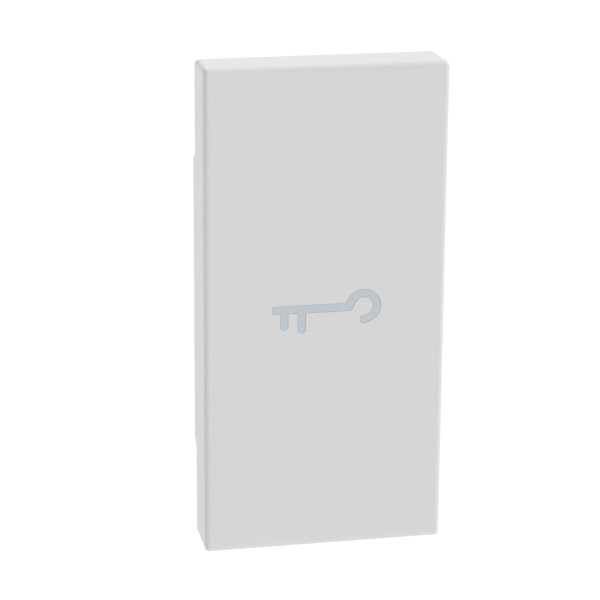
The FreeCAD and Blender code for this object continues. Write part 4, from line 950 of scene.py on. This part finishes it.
@dataclass(frozen=True)
class KeyCover:
    """The moulded cover: a shell with drafted skirts, deeper in the middle, and a key-shaped window."""

    figure: KeyFigure
    half_width: float = 11.065
    half_height: float = 22.5
    inner_half: tuple[float, float] = (9.789, 21.224)
    face: float = -8.5
    face_rear: float = -7.1
    shoulder: float = -7.7
    end_rear: float = -3.4
    middle_rear: float = -2.5
    middle_half: float = 13.3
    slope: float = 0.57
    bend: float = 0.12
    draft: float = 0.73
    face_border: float = 0.8
    edge_round: float = 0.55
    corner_round: float = 0.45
    sharpest_corner: float = 0.05
    rim: float = 0.05
    inner_corner: float = 0.3
    inner_round: float = 0.25
    outer_levels: tuple[float, ...] = (-7.4, -6.2, -5.0, -3.9)
    inner_levels: tuple[float, ...] = (-4.6, -5.6, -6.5)
    plate_half: tuple[float, float] = (5.8, 2.7)
    plate_corner: float = 0.2
    window_edge: float = 0.03
    hook_up: float = 9.0
    hook_half: tuple[float, float] = (0.5, 1.5)
    hook_levels: tuple[float, float] = (-5.9, -5.2)
    hook_edge: float = 0.1

    def build(self) -> bpy.types.Object:
        """Builds the shell and the four hooks that hold the carrier.

        Returns:
            The cover.
        """
        skin = Skin()
        self.add_shell(skin)
        self.add_hooks(skin)
        return skin.piece("cover_shell", COVER, "key", "key_cover")

    def stations(self) -> np.ndarray:
        """Gives the heights along the sides where the rear edge bends, and some between them.

        Returns:
            The heights in rising order, the same above and below the middle.
        """
        near = self.bend * np.array([-1.0, -0.5, 0.0, 0.5, 1.0])
        bends = np.concatenate([self.middle_half + near, self.middle_half + self.slope + near])
        others = np.array([3.0, 6.0, 9.0, 11.5, 15.5, 17.5, 19.5])
        upper = np.sort(np.concatenate([bends, others]))
        return np.concatenate([-upper[::-1], [0.0], upper])

    def rear(self, up: np.ndarray) -> np.ndarray:
        """Gives the depth of the rear edge: two levels, a straight slope and soft bends.

        The share of the slope that is climbed at a height is the mean over four spots around it.

        Args:
            up: the heights.

        Returns:
            The depth at each height.
        """
        spots = np.linspace(-self.bend, self.bend, 4)
        share = (self.middle_half + self.slope - np.abs(up)[:, None] - spots) / self.slope
        climbed = np.clip(share, 0, 1).mean(axis=1)
        return self.end_rear + (self.middle_rear - self.end_rear) * climbed

    def outside(self, depth: float) -> tuple[float, float]:
        """Gives half the outer width and height at a depth, which the draft draws in."""
        lean = math.tan(math.radians(self.draft)) * (depth - self.face)
        return self.half_width - lean, self.half_height - lean

    def ring(
        self, half: tuple[float, float], corner: float, inset: float, depth: np.ndarray | float
    ) -> np.ndarray:
        """Gives one closed loop of the shell.

        Args:
            half: half the width and half the height before the inset.
            corner: radius of the corners.
            inset: how far the loop lies further in.
            depth: its depth, one for all points or one for each.

        Returns:
            The points.
        """
        outline = rounded_outline(half[0] - inset, half[1] - inset, corner, 6, self.stations())
        return np.column_stack([outline[:, 0], np.broadcast_to(depth, len(outline)), outline[:, 1]])

    def shell_loops(self) -> list[np.ndarray]:
        """Walks from the face over the skirts and their rear edge to the inner side of the face.

        Each rounding is a quarter turn in which one way goes with 1 - sine of the angle, the other with
        1 - cosine.

        Returns:
            Closed loops with the same number of points.
        """
        loops = [self.ring(self.outside(self.face), self.sharpest_corner, self.face_border, self.face)]
        for angle in np.radians(np.linspace(0, 90, 12)):
            inset = self.edge_round * (1 - math.sin(angle))
            depth = self.face + self.edge_round * (1 - math.cos(angle))
            corner = max(self.corner_round - inset, self.sharpest_corner)
            loops.append(self.ring(self.outside(depth), corner, inset, depth))
        for depth in self.outer_levels:
            loops.append(self.ring(self.outside(depth), self.corner_round, 0.0, depth))
        rear = self.rear(loops[-1][:, 2])
        rear_half = self.outside(self.end_rear)
        for angle in np.radians(np.linspace(0, 90, 5)):
            inset = self.rim * (1 - math.cos(angle))
            depth = rear - self.rim * (1 - math.sin(angle))
            loops.append(self.ring(rear_half, self.corner_round, inset, depth))
        for angle in np.radians(np.linspace(0, 90, 4)):
            inset = -self.rim * (1 - math.sin(angle))
            depth = rear - self.rim * (1 - math.cos(angle))
            loops.append(self.ring(self.inner_half, self.inner_corner, inset, depth))
        for depth in self.inner_levels:
            loops.append(self.ring(self.inner_half, self.inner_corner, 0.0, depth))
        for angle in np.radians(np.linspace(0, 90, 5)):
            inset = self.inner_round * (1 - math.cos(angle))
            depth = self.face_rear + self.inner_round * (1 - math.sin(angle))
            loops.append(self.ring(self.inner_half, self.inner_corner, inset, depth))
        return loops

    def add_shell(self, skin: Skin) -> None:
        """Adds the shell with its window in front and the symbol's pocket behind.

        Args:
            skin: the piece that it joins.
        """
        loops = self.shell_loops()
        key = self.figure.outline()
        plate = rounded_outline(*self.plate_half, self.plate_corner, 4)
        window = [
            flat(moved_in(key, -self.window_edge), self.face),
            flat(key, self.face + self.window_edge),
            flat(key, self.shoulder),
        ]
        pocket = [flat(plate, self.shoulder), flat(plate, self.face_rear)]
        columns, key_count, plate_count = len(loops[0]), len(key), len(plate)
        window_start = len(loops) * columns
        pocket_start = window_start + len(window) * key_count
        front = filled([loops[0][:, [0, 2]], window[0][:, [0, 2]]])
        step = filled([plate, key])
        back = filled([loops[-1][:, [0, 2]], plate])
        skin.add(
            np.vstack([*loops, *window, *pocket]),
            strips(len(loops), columns),
            strips(len(window), key_count, window_start),
            strips(len(pocket), plate_count, pocket_start),
            renumbered(front, columns, 0, window_start),
            renumbered(step, plate_count, pocket_start, pocket_start - key_count),
            renumbered(back, columns, window_start - columns, pocket_start + plate_count),
        )

    def add_hooks(self, skin: Skin) -> None:
        """Adds the four hooks inside the skirts.

        Args:
            skin: the piece that they join.
        """
        half_across, half_up = self.hook_half
        for side, end in product(BOTH_SIDES, repeat=2):
            across, up = side * self.inner_half[0], end * self.hook_up
            skin.add_block(
                (across - half_across, self.hook_levels[0], up - half_up),
                (across + half_across, self.hook_levels[1], up + half_up),
                self.hook_edge,
            )


@dataclass(frozen=True)
class KeySymbol:
    """The translucent insert: the key figure in the window and the plate behind the face."""

    figure: KeyFigure
    face: float = -8.5
    shoulder: float = -7.7
    rear: float = -7.1
    gap: float = 0.012
    sink: float = 0.01
    front_edge: float = 0.03
    rear_edge: float = 0.06
    plate_half: tuple[float, float] = (5.77, 2.67)
    plate_corner: float = 0.17

    def build(self) -> bpy.types.Object:
        """Builds the figure on its plate as one closed skin.

        Returns:
            The symbol.
        """
        key = moved_in(self.figure.outline(), self.gap)
        top = self.face + self.sink
        plate = rounded_outline(*self.plate_half, self.plate_corner, 4)
        figure = [
            flat(moved_in(key, self.front_edge), top),
            flat(key, top + self.front_edge),
            flat(key, self.shoulder),
        ]
        base = [
            flat(plate, self.shoulder),
            flat(plate, self.rear - self.rear_edge),
            flat(moved_in(plate, self.rear_edge), self.rear),
        ]
        key_count, plate_count = len(key), len(plate)
        base_start = len(figure) * key_count
        front = filled([figure[0][:, [0, 2]]])
        step = filled([plate, key])
        back = filled([base[-1][:, [0, 2]]])
        skin = Skin()
        skin.add(
            np.vstack([*figure, *base]),
            strips(len(figure), key_count),
            strips(len(base), plate_count, base_start),
            front,
            renumbered(step, plate_count, base_start, base_start - key_count),
            back + base_start + 2 * plate_count,
        )
        return skin.piece("symbol_insert", SYMBOL, "key", "key_symbol")


# Pieces between the key and the board


@dataclass(frozen=True)
class ReturnSpring:
    """A compression spring with closed and ground ends, in its cup behind the carrier."""

    end: int
    up: float = 17.504
    outside: float = 3.6
    wire: float = 0.35
    front: float = -5.9
    rear: float = -3.15
    closed_turns: float = 1.0
    open_turns: float = 2.2
    closed_pitch: float = 1.02
    tip_share: float = 0.35
    tip_growth: float = 14.0
    steps: int = 240
    section_steps: int = 14

    def build(self) -> bpy.types.Object:
        """Sweeps a round section along a helix whose pitch is one wire at the ends and wide between.

        The section stands square to the wire's way. At both tips it starts at a share of its size and
        grows with the turn, and what would stand past the ends is ground flat.

        Returns:
            The spring.
        """
        turns = 2 * self.closed_turns + self.open_turns
        turn = np.linspace(0, turns, self.steps + 1)
        tight = self.wire * self.closed_pitch
        room = self.rear - self.front - self.wire
        wide = (room - 2 * self.closed_turns * tight) / self.open_turns
        opened = np.clip(turn - self.closed_turns, 0, self.open_turns)
        along = self.front + self.wire / 2 + tight * (turn - opened) + wide * opened
        radius = (self.outside - self.wire) / 2
        angle = 2 * math.pi * turn
        path = np.column_stack([radius * np.cos(angle), along, radius * np.sin(angle)])
        way = np.gradient(path, axis=0)
        way /= np.linalg.norm(way, axis=1, keepdims=True)
        out = np.column_stack([np.cos(angle), np.zeros_like(angle), np.sin(angle)])
        out -= way * np.einsum("ij,ij->i", out, way)[:, None]
        out /= np.linalg.norm(out, axis=1, keepdims=True)
        side = np.cross(way, out)
        around = circle_angles(self.section_steps)[:, None]
        section = out[:, None] * np.cos(around) + side[:, None] * np.sin(around)
        from_tip = np.minimum(turn, turns - turn)
        size = self.wire / 2 * np.minimum(1.0, from_tip * self.tip_growth + self.tip_share)
        rings = path[:, None] + section * size[:, None, None]
        rings[..., 1] = np.clip(rings[..., 1], self.front, self.rear)
        rings += (0.0, 0.0, self.end * self.up)
        skin = Skin()
        skin.add_tube(rings, [rings[0].mean(axis=0), rings[-1].mean(axis=0)])
        label = "upper" if self.end > 0 else "lower"
        made = skin.piece(f"{label}_spring_coil", SPRING, "insert", f"{label}_return_spring", sharp=60)
        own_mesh(made)
        return made


@dataclass(frozen=True)
class SwitchDome:
    """The rubber dome under a plunger: a flat top, a thin leaning wall and a foot."""

    end: int
    up: float = 8.004
    top: float = -3.95
    foot: float = -2.85
    top_radius: float = 1.3
    foot_radius: float = 2.4
    wall: float = 0.3

    def build(self) -> bpy.types.Object:
        """Turns the dome's profile around its axis.

        Returns:
            The dome.
        """
        top_edge = [(-0.15, 0.0), (-0.04, 0.04), (0.0, 0.14), (0.22, 0.42)]
        foot_edge = [(-0.42, -0.32), (-0.1, -0.24), (0.0, -0.16), (0.0, 0.0)]
        outer = np.vstack(
            [
                [(0.0, self.top)],
                np.array(top_edge) + (self.top_radius, self.top),
                np.array(foot_edge) + (self.foot_radius, self.foot),
            ]
        )
        inner = np.array(
            [
                (self.foot_radius - self.wall, self.foot),
                (self.foot_radius - self.wall - 0.28, self.foot - 0.1),
                (self.top_radius - 0.05, self.top + 0.55),
                (self.top_radius - 0.3, self.top + self.wall + 0.02),
                (0.0, self.top + self.wall),
            ]
        )
        skin = Skin()
        skin.add_turned(np.vstack([outer, inner]), (0.0, self.end * self.up), 48)
        label = "upper" if self.end > 0 else "lower"
        made = skin.piece(f"{label}_dome_skin", DOME, "insert", f"{label}_switch_dome", sharp=70)
        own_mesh(made)
        return made


# Pieces in the housing


@dataclass(frozen=True)
class CoinCell:
    """The cell: a drawn can with a rolled edge, a groove and the smaller cap in front."""

    up: float = -9.0
    radius: float = 8.0
    front: float = -0.6
    rear: float = 2.6
    cap_radius: float = 7.0
    step: float = 0.25
    roll: float = 0.35
    back_round: float = 0.5
    back_sink: float = 0.04

    def build(self) -> bpy.types.Object:
        """Turns the cell's profile around its axis: cap, groove, rolled edge, wall and sunk back.

        Returns:
            The cell.
        """
        roll_centre = (self.radius - self.roll, self.front + self.step + self.roll)
        back_centre = (self.radius - self.back_round, self.rear - self.back_round)
        cap_edge = [(-1.2, 0.0), (-0.2, 0.03), (-0.04, 0.1), (0.0, 0.3), (0.12, 0.42), (0.22, 0.3)]
        sunk = self.rear - self.back_sink
        profile = np.vstack(
            [
                [(0.0, self.front)],
                np.array(cap_edge) + (self.cap_radius, self.front),
                bent(roll_centre, self.roll, -90, 0, 8),
                bent(back_centre, self.back_round, 0, 90, 8),
                [(self.radius - 0.9, self.rear), (self.radius - 1.1, sunk), (0.0, sunk)],
            ]
        )
        skin = Skin()
        skin.add_turned(profile, (0.0, self.up), 120)
        return skin.piece("cell_can", CELL, "insert", "coin_cell")


@dataclass(frozen=True)
class CaseScrews:
    """Four thread-forming screws with low domed heads and a cross recess."""

    across: float = 7.0
    up: float = 16.7
    tip: float = -4.2
    tip_length: float = 0.35
    seat: float = 3.2
    rim: float = 0.3
    head: float = 3.9
    head_radius: float = 1.05
    thread_radius: float = 0.6
    thread_depth: float = 0.13
    pitch: float = 0.45
    recess: float = 0.36
    bar_half: float = 0.19
    bar_reach: float = 0.66
    bar_soft: tuple[float, float] = (0.06, 0.12)
    steps: int = 48
    shank_rows: int = 90
    dome_rows: int = 30

    def build(self) -> bpy.types.Object:
        """Repeats one screw at the four corners.

        Returns:
            The four screws as one piece.
        """
        radii, depth = self.surface()
        angle = circle_angles(self.steps)
        skin = Skin()
        for side, end in product(BOTH_SIDES, repeat=2):
            across, up = side * self.across, end * self.up
            rings = np.stack([across + radii * np.cos(angle), depth, up + radii * np.sin(angle)], axis=-1)
            skin.add_tube(rings, [(across, self.tip, up), (across, self.head - self.recess, up)])
        return skin.piece("case_screw_set", SCREW, "insert", "case_screws", sharp=40)

    def surface(self) -> tuple[np.ndarray, np.ndarray]:
        """Gives the screw on a polar grid, from its tip to the middle of its head.

        The thread's radius is a triangle wave of place over pitch less the turn, and it fades at both
        ends of the shank. The head is half an ellipse over its radius. The recess is a cross of two
        narrow bars that sinks smoothly into it.

        Returns:
            Radius and depth, by row and place around.
        """
        turn = np.arange(self.steps) / self.steps
        once = np.ones(self.steps)
        core = self.thread_radius - self.thread_depth
        shank = np.linspace(self.tip + self.tip_length, self.seat - 0.1, self.shank_rows)[:, None]
        phase = (shank / self.pitch - turn) % 1.0
        ridge = np.clip(1 - np.abs(phase - 0.5) * 4, 0, 1)
        run_out = np.clip((self.seat - 0.6 - shank) / 0.4, 0, 1)
        run_in = np.clip((shank - self.tip - self.tip_length) / 0.5, 0.2, 1)
        tip = np.array([(0.12, self.tip), (0.3, self.tip + 0.1)])
        rim = np.array(
            [
                (core + 0.02, self.seat),
                (self.head_radius - 0.06, self.seat),
                (self.head_radius, self.seat + 0.06),
                (self.head_radius, self.seat + self.rim - 0.02),
            ]
        )
        share = np.linspace(0.985, 0.06, self.dome_rows)
        low = self.seat + self.rim
        level = low + (self.head - low) * np.sqrt(1 - share**2)
        x = np.outer(self.head_radius * share, np.cos(2 * math.pi * turn))
        z = np.outer(self.head_radius * share, np.sin(2 * math.pi * turn))
        narrow = np.clip((self.bar_half - np.minimum(abs(x), abs(z))) / self.bar_soft[0], 0, 1)
        short = np.clip((self.bar_reach - np.maximum(abs(x), abs(z))) / self.bar_soft[1], 0, 1)
        radii = np.vstack(
            [
                np.outer(tip[:, 0], once),
                core + self.thread_depth * ridge * run_out * run_in,
                np.outer(rim[:, 0], once),
                np.outer(self.head_radius * share, once),
            ]
        )
        depth = np.vstack(
            [
                np.outer(tip[:, 1], once),
                shank * once,
                np.outer(rim[:, 1], once),
                level[:, None] - self.recess * narrow * short,
            ]
        )
        return radii, depth


@dataclass(frozen=True)
class PairingButton:
    """The button at the back: a round stem with a dished end and a collar that keeps it in."""

    up: float = 15.404
    front: float = 0.3
    rear: float = 4.2
    radius: float = 1.4
    edge: float = 0.12
    rear_round: float = 0.035
    collar_radius: float = 1.9
    collar: tuple[float, float] = (2.75, 3.35)
    collar_edge: float = 0.08
    dish: float = 0.14
    dish_share: float = 0.82

    def build(self) -> bpy.types.Object:
        """Turns the button's profile; its end is a rim around a shallow bowl of parabolic section.

        Returns:
            The button.
        """
        radius, wide, edge = self.radius, self.collar_radius, self.collar_edge
        low, high = self.collar
        share = np.linspace(self.dish_share, 0.0, 12)
        sunk = self.dish * (1 - (share / self.dish_share) ** 2)
        profile = np.vstack(
            [
                [(0.0, self.front), (radius - self.edge, self.front), (radius, self.front + self.edge)],
                [(radius, low), (wide - edge, low), (wide, low + edge)],
                [(wide, high - edge), (wide - edge, high), (radius, high)],
                [(radius, self.rear - self.edge), (radius - self.rear_round, self.rear - self.rear_round)],
                [(radius - self.edge, self.rear)],
                np.column_stack([share * radius, self.rear - sunk]),
            ]
        )
        skin = Skin()
        skin.add_turned(profile, (0.0, self.up), 72)
        return skin.piece("pairing_knob", BUTTON, "pairing_push", "pairing_button")


# The board's small pieces


@dataclass(frozen=True)
class BoardDress:
    """What makes the board look soldered: joints, studs, end caps, the lamp and the metal cans."""

    front: float = -2.5
    rear: float = -1.5
    switch_up: float = 8.004
    joint_out: float = 4.08
    joint_up: float = 2.25
    joint_half: tuple[float, float] = (0.42, 0.44)
    joint_height: float = 0.24
    radio_sides: tuple[float, float] = (-4.4, 7.6)
    radio_first: float = 2.6
    radio_pitch: float = 1.15
    radio_half: tuple[float, float] = (0.34, 0.32)
    radio_height: float = 0.55
    cover_front: float = -4.6
    stud_out: float = 2.55
    stud_half: tuple[float, float] = (0.36, 0.36)
    stud_height: float = 0.16
    small_side: float = -6.5
    small_low: float = 7.8
    small_step: float = 1.3
    small_size: tuple[float, float, float] = (1.6, 0.7, 0.8)
    end_cap: float = 0.34
    end_cap_over: float = 0.015
    lamp_half: tuple[float, float] = (1.0, 0.625)
    lamp_levels: tuple[float, float] = (-3.3, -2.85)
    lens_half: tuple[float, float] = (0.65, 0.625)
    crystal_flange: tuple[tuple[float, float, float], ...] = ((-7.5, -1.5, 4.6), (-5.5, -1.32, 7.1))
    crystal_body: tuple[tuple[float, float, float], ...] = ((-7.3, -1.4, 4.8), (-5.7, -0.9, 6.9))
    shield: tuple[tuple[float, float, float], ...] = ((-3.4, -0.7, 2.2), (6.6, 1.0, 9.8))

    def build(self) -> None:
        """Builds the joints, the studs, the end caps, the lamp and the cans."""
        self.build_joints()
        self.build_studs()
        self.build_end_caps()
        self.build_lamp()
        self.build_cans()

    @staticmethod
    def mound(
        skin: Skin, place: tuple[float, float, float], half: tuple[float, float], height: float
    ) -> None:
        """Adds a low mound over an oval, with height falling as (1 - share^2) squared.

        Args:
            skin: the piece that it joins.
            place: middle of its foot.
            half: half its width and half its length.
            height: its height along Y, negative towards the front.
        """
        steps, foot_depth = 20, 0.04
        share = np.array([1.0, 0.92, 0.8, 0.62, 0.4, 0.2])[:, None]
        angle = circle_angles(steps)
        rings = np.stack(
            [
                place[0] + half[0] * share * np.cos(angle),
                place[1] + height * (1 - share**2) ** 2 + 0 * angle,
                place[2] + half[1] * share * np.sin(angle),
            ],
            axis=-1,
        ).reshape(-1, 3)
        foot = rings[:steps] - (0.0, math.copysign(foot_depth, height), 0.0)
        points = np.vstack([foot, rings, [place[0], place[1] + height, place[2]]])
        last = np.arange(steps) + len(rings)
        base = filled([foot[:, [0, 2]]])
        crown = np.column_stack([last, np.roll(last, -1), np.full(steps, len(points) - 1)])
        skin.add(points, strips(len(share) + 1, steps), crown, base)

    def build_joints(self) -> None:
        """Builds the solder joints of the switches on the front and of the radio board on the back."""
        skin = Skin()
        for end, row, side in product(BOTH_SIDES, repeat=3):
            up = end * self.switch_up + row * self.joint_up
            place = (side * self.joint_out, self.front, up)
            self.mound(skin, place, self.joint_half, -self.joint_height)
        for number, across in product(range(8), self.radio_sides):
            up = self.radio_first + number * self.radio_pitch
            self.mound(skin, (across, self.rear, up), self.radio_half, self.radio_height)
        skin.piece("solder_joints", SOLDER, "insert", sharp=60)

    def build_studs(self) -> None:
        """Builds the melted studs that hold the metal covers on the two switches."""
        skin = Skin()
        for end, side, row in product(BOTH_SIDES, repeat=3):
            up = end * self.switch_up + row * self.stud_out
            place = (side * self.stud_out, self.cover_front, up)
            self.mound(skin, place, self.stud_half, -self.stud_height)
        skin.piece("switch_studs", STUD, "insert", sharp=60)

    def build_end_caps(self) -> None:
        """Builds the tinned ends of the small ceramic parts, a hair larger than the parts."""
        skin = Skin()
        over = self.end_cap_over
        across, high, up = self.small_size
        for number, side in product(range(3), BOTH_SIDES):
            middle = self.small_low + number * self.small_step
            ends = sorted((side * (across / 2 + over), side * (across / 2 - self.end_cap)))
            skin.add_block(
                (self.small_side + ends[0], self.rear - 0.01, middle - up / 2 - over),
                (self.small_side + ends[1], self.rear + high + over, middle + up / 2 + over),
                0.06,
            )
        skin.piece("tinned_ends", SOLDER, "insert")

    def build_lamp(self) -> None:
        """Builds the lamp's base and its window with a bevelled rim."""
        lens_front, base_front = self.lamp_levels
        base = Skin()
        across, up = self.lamp_half
        base.add_block((-across, base_front, -up), (across, self.front, up), 0.06)
        base.piece("lamp_base", LAMP, "insert", "status_light")
        lens = Skin()
        across, up = self.lens_half
        lens.add_block((-across, lens_front, -up), (across, base_front + 0.02, up), 0.1)
        lens.piece("lamp_window", PHOSPHOR, "insert")

    @staticmethod
    def can(
        skin: Skin,
        low: Sequence[float],
        high: Sequence[float],
        corner: float,
        edge: float,
        bead: float = 0.0,
    ) -> None:
        """Adds a drawn can: rounded corners, and a quarter-round edge around its rear face.

        Args:
            skin: the piece that it joins.
            low: lowest corner.
            high: highest corner.
            corner: radius of the upright corners.
            edge: radius around the rear face.
            bead: depth of a groove that runs around the rear face, 0 for none.
        """
        outline = box_outline(low, high, corner, 8)
        levels = [(outline, low[1])]
        for angle in np.radians(np.linspace(0, 90, 7)):
            rounded = moved_in(outline, edge * (1 - math.cos(angle)))
            levels.append((rounded, high[1] - edge * (1 - math.sin(angle))))
        if bead:
            groove = ((0.7, 0.0), (0.78, 0.5), (0.9, 1.0), (1.1, 1.0), (1.22, 0.5), (1.3, 0.0))
            levels += [(moved_in(outline, inset), high[1] - bead * share) for inset, share in groove]
        skin.add_stack(levels)

    def build_cans(self) -> None:
        """Builds the crystal's can with its flange, and the shield can over the radio."""
        crystal = Skin()
        self.can(crystal, *self.crystal_flange, corner=0.5, edge=0.06)
        self.can(crystal, *self.crystal_body, corner=0.42, edge=0.12)
        crystal.piece("crystal_can", TIN, "insert", "crystal")
        shield = Skin()
        self.can(shield, *self.shield, corner=1.5, edge=0.22, bead=0.16)
        shield.piece("shield_can", TIN, "insert", "radio_shield")


# Studio


@dataclass(frozen=True)
class SoftLight:
    """A wide soft light, even over the whole floor, as from a large lit wall far away."""

    name: str
    way: tuple[float, float, float]
    level: float
    spread: float = 50.0

    def build(self) -> bpy.types.Object:
        """Makes the light with the strength that gives its level on a surface facing it.

        A surface that faces a distant light of strength S shines at its own colour times S / pi.

        Returns:
            The light.
        """
        lamp = bpy.data.lights.new(self.name, "SUN")
        lamp.angle = math.radians(self.spread)
        lamp.energy = self.level * math.pi
        made = bpy.data.objects.new(self.name, lamp)
        bpy.context.scene.collection.objects.link(made)
        made.rotation_euler = Vector(self.way).normalized().to_track_quat("Z", "Y").to_euler()
        return made


@dataclass(frozen=True)
class Studio:
    """Camera, lights, floor and background of the photograph."""

    camera_place: tuple[float, float, float] = (-46.31, -215.83, 66.05)
    camera_right: tuple[float, float, float] = (0.97869, -0.20522, 0.00673)
    camera_up: tuple[float, float, float] = (0.05369, 0.28740, 0.95630)
    camera_back: tuple[float, float, float] = (-0.19819, -0.93557, 0.29230)
    lens: float = 148.66
    sensor: float = 36.0
    nearest: float = 0.01
    floor_drop: float = 120.0
    floor_radius: float = 2500.0
    floor_points: int = 96
    floor_colour: str = "#F6F6F6"
    floor_lift: float = 0.17
    ambient: float = 0.30
    lights: tuple[SoftLight, ...] = (
        SoftLight("Top light", (0.60, 0.25, 0.755), 0.616, 40.0),
        SoftLight("Right light", (0.36, -0.82, 0.44), 0.296, 30.0),
        SoftLight("Left light", (-0.56, 0.82, 0.12), 0.42, 30.0),
    )

    def build(self) -> None:
        """Builds the studio and sets the colour management."""
        scene = bpy.context.scene
        scene.view_settings.view_transform = "Standard"
        self.build_camera(scene)
        self.build_world(scene)
        self.build_floor(scene)
        for light in self.lights:
            light.build()
        LOG.info("studio: camera, floor, background and %d lights", len(self.lights))

    def build_camera(self, scene: bpy.types.Scene) -> None:
        """Puts the camera where the photograph was taken from.

        Args:
            scene: the scene that gets it.
        """
        lens = bpy.data.cameras.new("Camera")
        lens.sensor_width = self.sensor
        lens.lens = self.lens
        lens.clip_start = self.nearest
        camera = bpy.data.objects.new("Camera", lens)
        scene.collection.objects.link(camera)
        axes = Matrix((self.camera_right, self.camera_up, self.camera_back)).transposed().to_4x4()
        camera.matrix_world = Matrix.Translation(Vector(self.camera_place) * MM) @ axes
        scene.camera = camera

    @staticmethod
    def seen(tree: bpy.types.NodeTree) -> bpy.types.NodeSocket:
        """Tells what the eye sees, straight, mirrored or through glass, from what only lights.

        Args:
            tree: the node tree.

        Returns:
            The socket with 1 for what is seen and 0 for the rest.
        """
        path = add_node(tree, "LightPath")
        direct = combine(tree, "ADD", path.outputs["Is Camera Ray"], path.outputs["Is Glossy Ray"])
        return combine(tree, "ADD", direct, path.outputs["Is Transmission Ray"], clamp=True)

    def build_world(self, scene: bpy.types.Scene) -> None:
        """Makes a background that shines white to the eye and in reflections, and softly as a light.

        Args:
            scene: the scene that gets it.
        """
        world = bpy.data.worlds.new("Background")
        world.use_nodes = True
        tree = world.node_tree
        tree.nodes.clear()
        strength = add_node(
            tree, "MapRange", {"To Min": self.ambient, "To Max": 1.0}, {"Value": self.seen(tree)}
        )
        shine = add_node(
            tree, "Background", {"Color": (1, 1, 1, 1)}, {"Strength": strength.outputs["Result"]}
        )
        add_node(tree, "OutputWorld", None, {"Surface": shine.outputs["Background"]})
        scene.world = world

    def build_floor(self, scene: bpy.types.Scene) -> None:
        """Makes the pale floor below the object.

        Args:
            scene: the scene that gets it.
        """
        angle = circle_angles(self.floor_points)
        height = np.full(self.floor_points, -self.floor_drop)
        rim = np.column_stack([self.floor_radius * np.cos(angle), self.floor_radius * np.sin(angle), height])
        mesh = bpy.data.meshes.new("Floor")
        mesh.from_pydata((rim * MM).tolist(), [], [list(range(self.floor_points))])
        mesh.materials.append(self.floor_material())
        floor = bpy.data.objects.new("Floor", mesh)
        scene.collection.objects.link(floor)

    def floor_material(self) -> bpy.types.Material:
        """Makes a dull paint that is lifted to white for the eye and can't be seen from below.

        Returns:
            The material.
        """
        material = bpy.data.materials.new("Painted pale floor")
        material.use_nodes = True
        tree = material.node_tree
        tree.nodes.clear()
        side = add_node(tree, "NewGeometry")
        paint = add_node(tree, "BsdfDiffuse", {"Color": linear(self.floor_colour)})
        lift = combine(tree, "MULTIPLY", self.seen(tree), self.floor_lift)
        glow = add_node(tree, "Emission", {"Color": (1, 1, 1, 1)}, {"Strength": lift})
        lifted = add_node(tree, "AddShader", None, {0: paint.outputs["BSDF"], 1: glow.outputs["Emission"]})
        through = add_node(tree, "BsdfTransparent")
        mixed = add_node(
            tree,
            "MixShader",
            None,
            {0: side.outputs["Backfacing"], 1: lifted.outputs["Shader"], 2: through.outputs["BSDF"]},
        )
        add_node(tree, "OutputMaterial", None, {"Surface": mixed.outputs["Shader"]})
        return material


def paint_nodes() -> None:
    """Puts a finish on every CAD node."""
    for name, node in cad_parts.items():
        NODE_FINISHES[name].paint(node)
    LOG.info("finishes: %d solids painted", len(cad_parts))


def main() -> None:
    """Builds the whole scene."""
    logging.basicConfig(level=logging.INFO, format="%(name)s: %(message)s")
    paint_nodes()
    figure = KeyFigure()
    KeyCover(figure).build()
    KeySymbol(figure).build()
    for end in (1, -1):
        ReturnSpring(end).build()
        SwitchDome(end).build()
    CoinCell().build()
    CaseScrews().build()
    PairingButton().build()
    BoardDress().build()
    Studio().build()


if __name__ == "__main__":
    main()
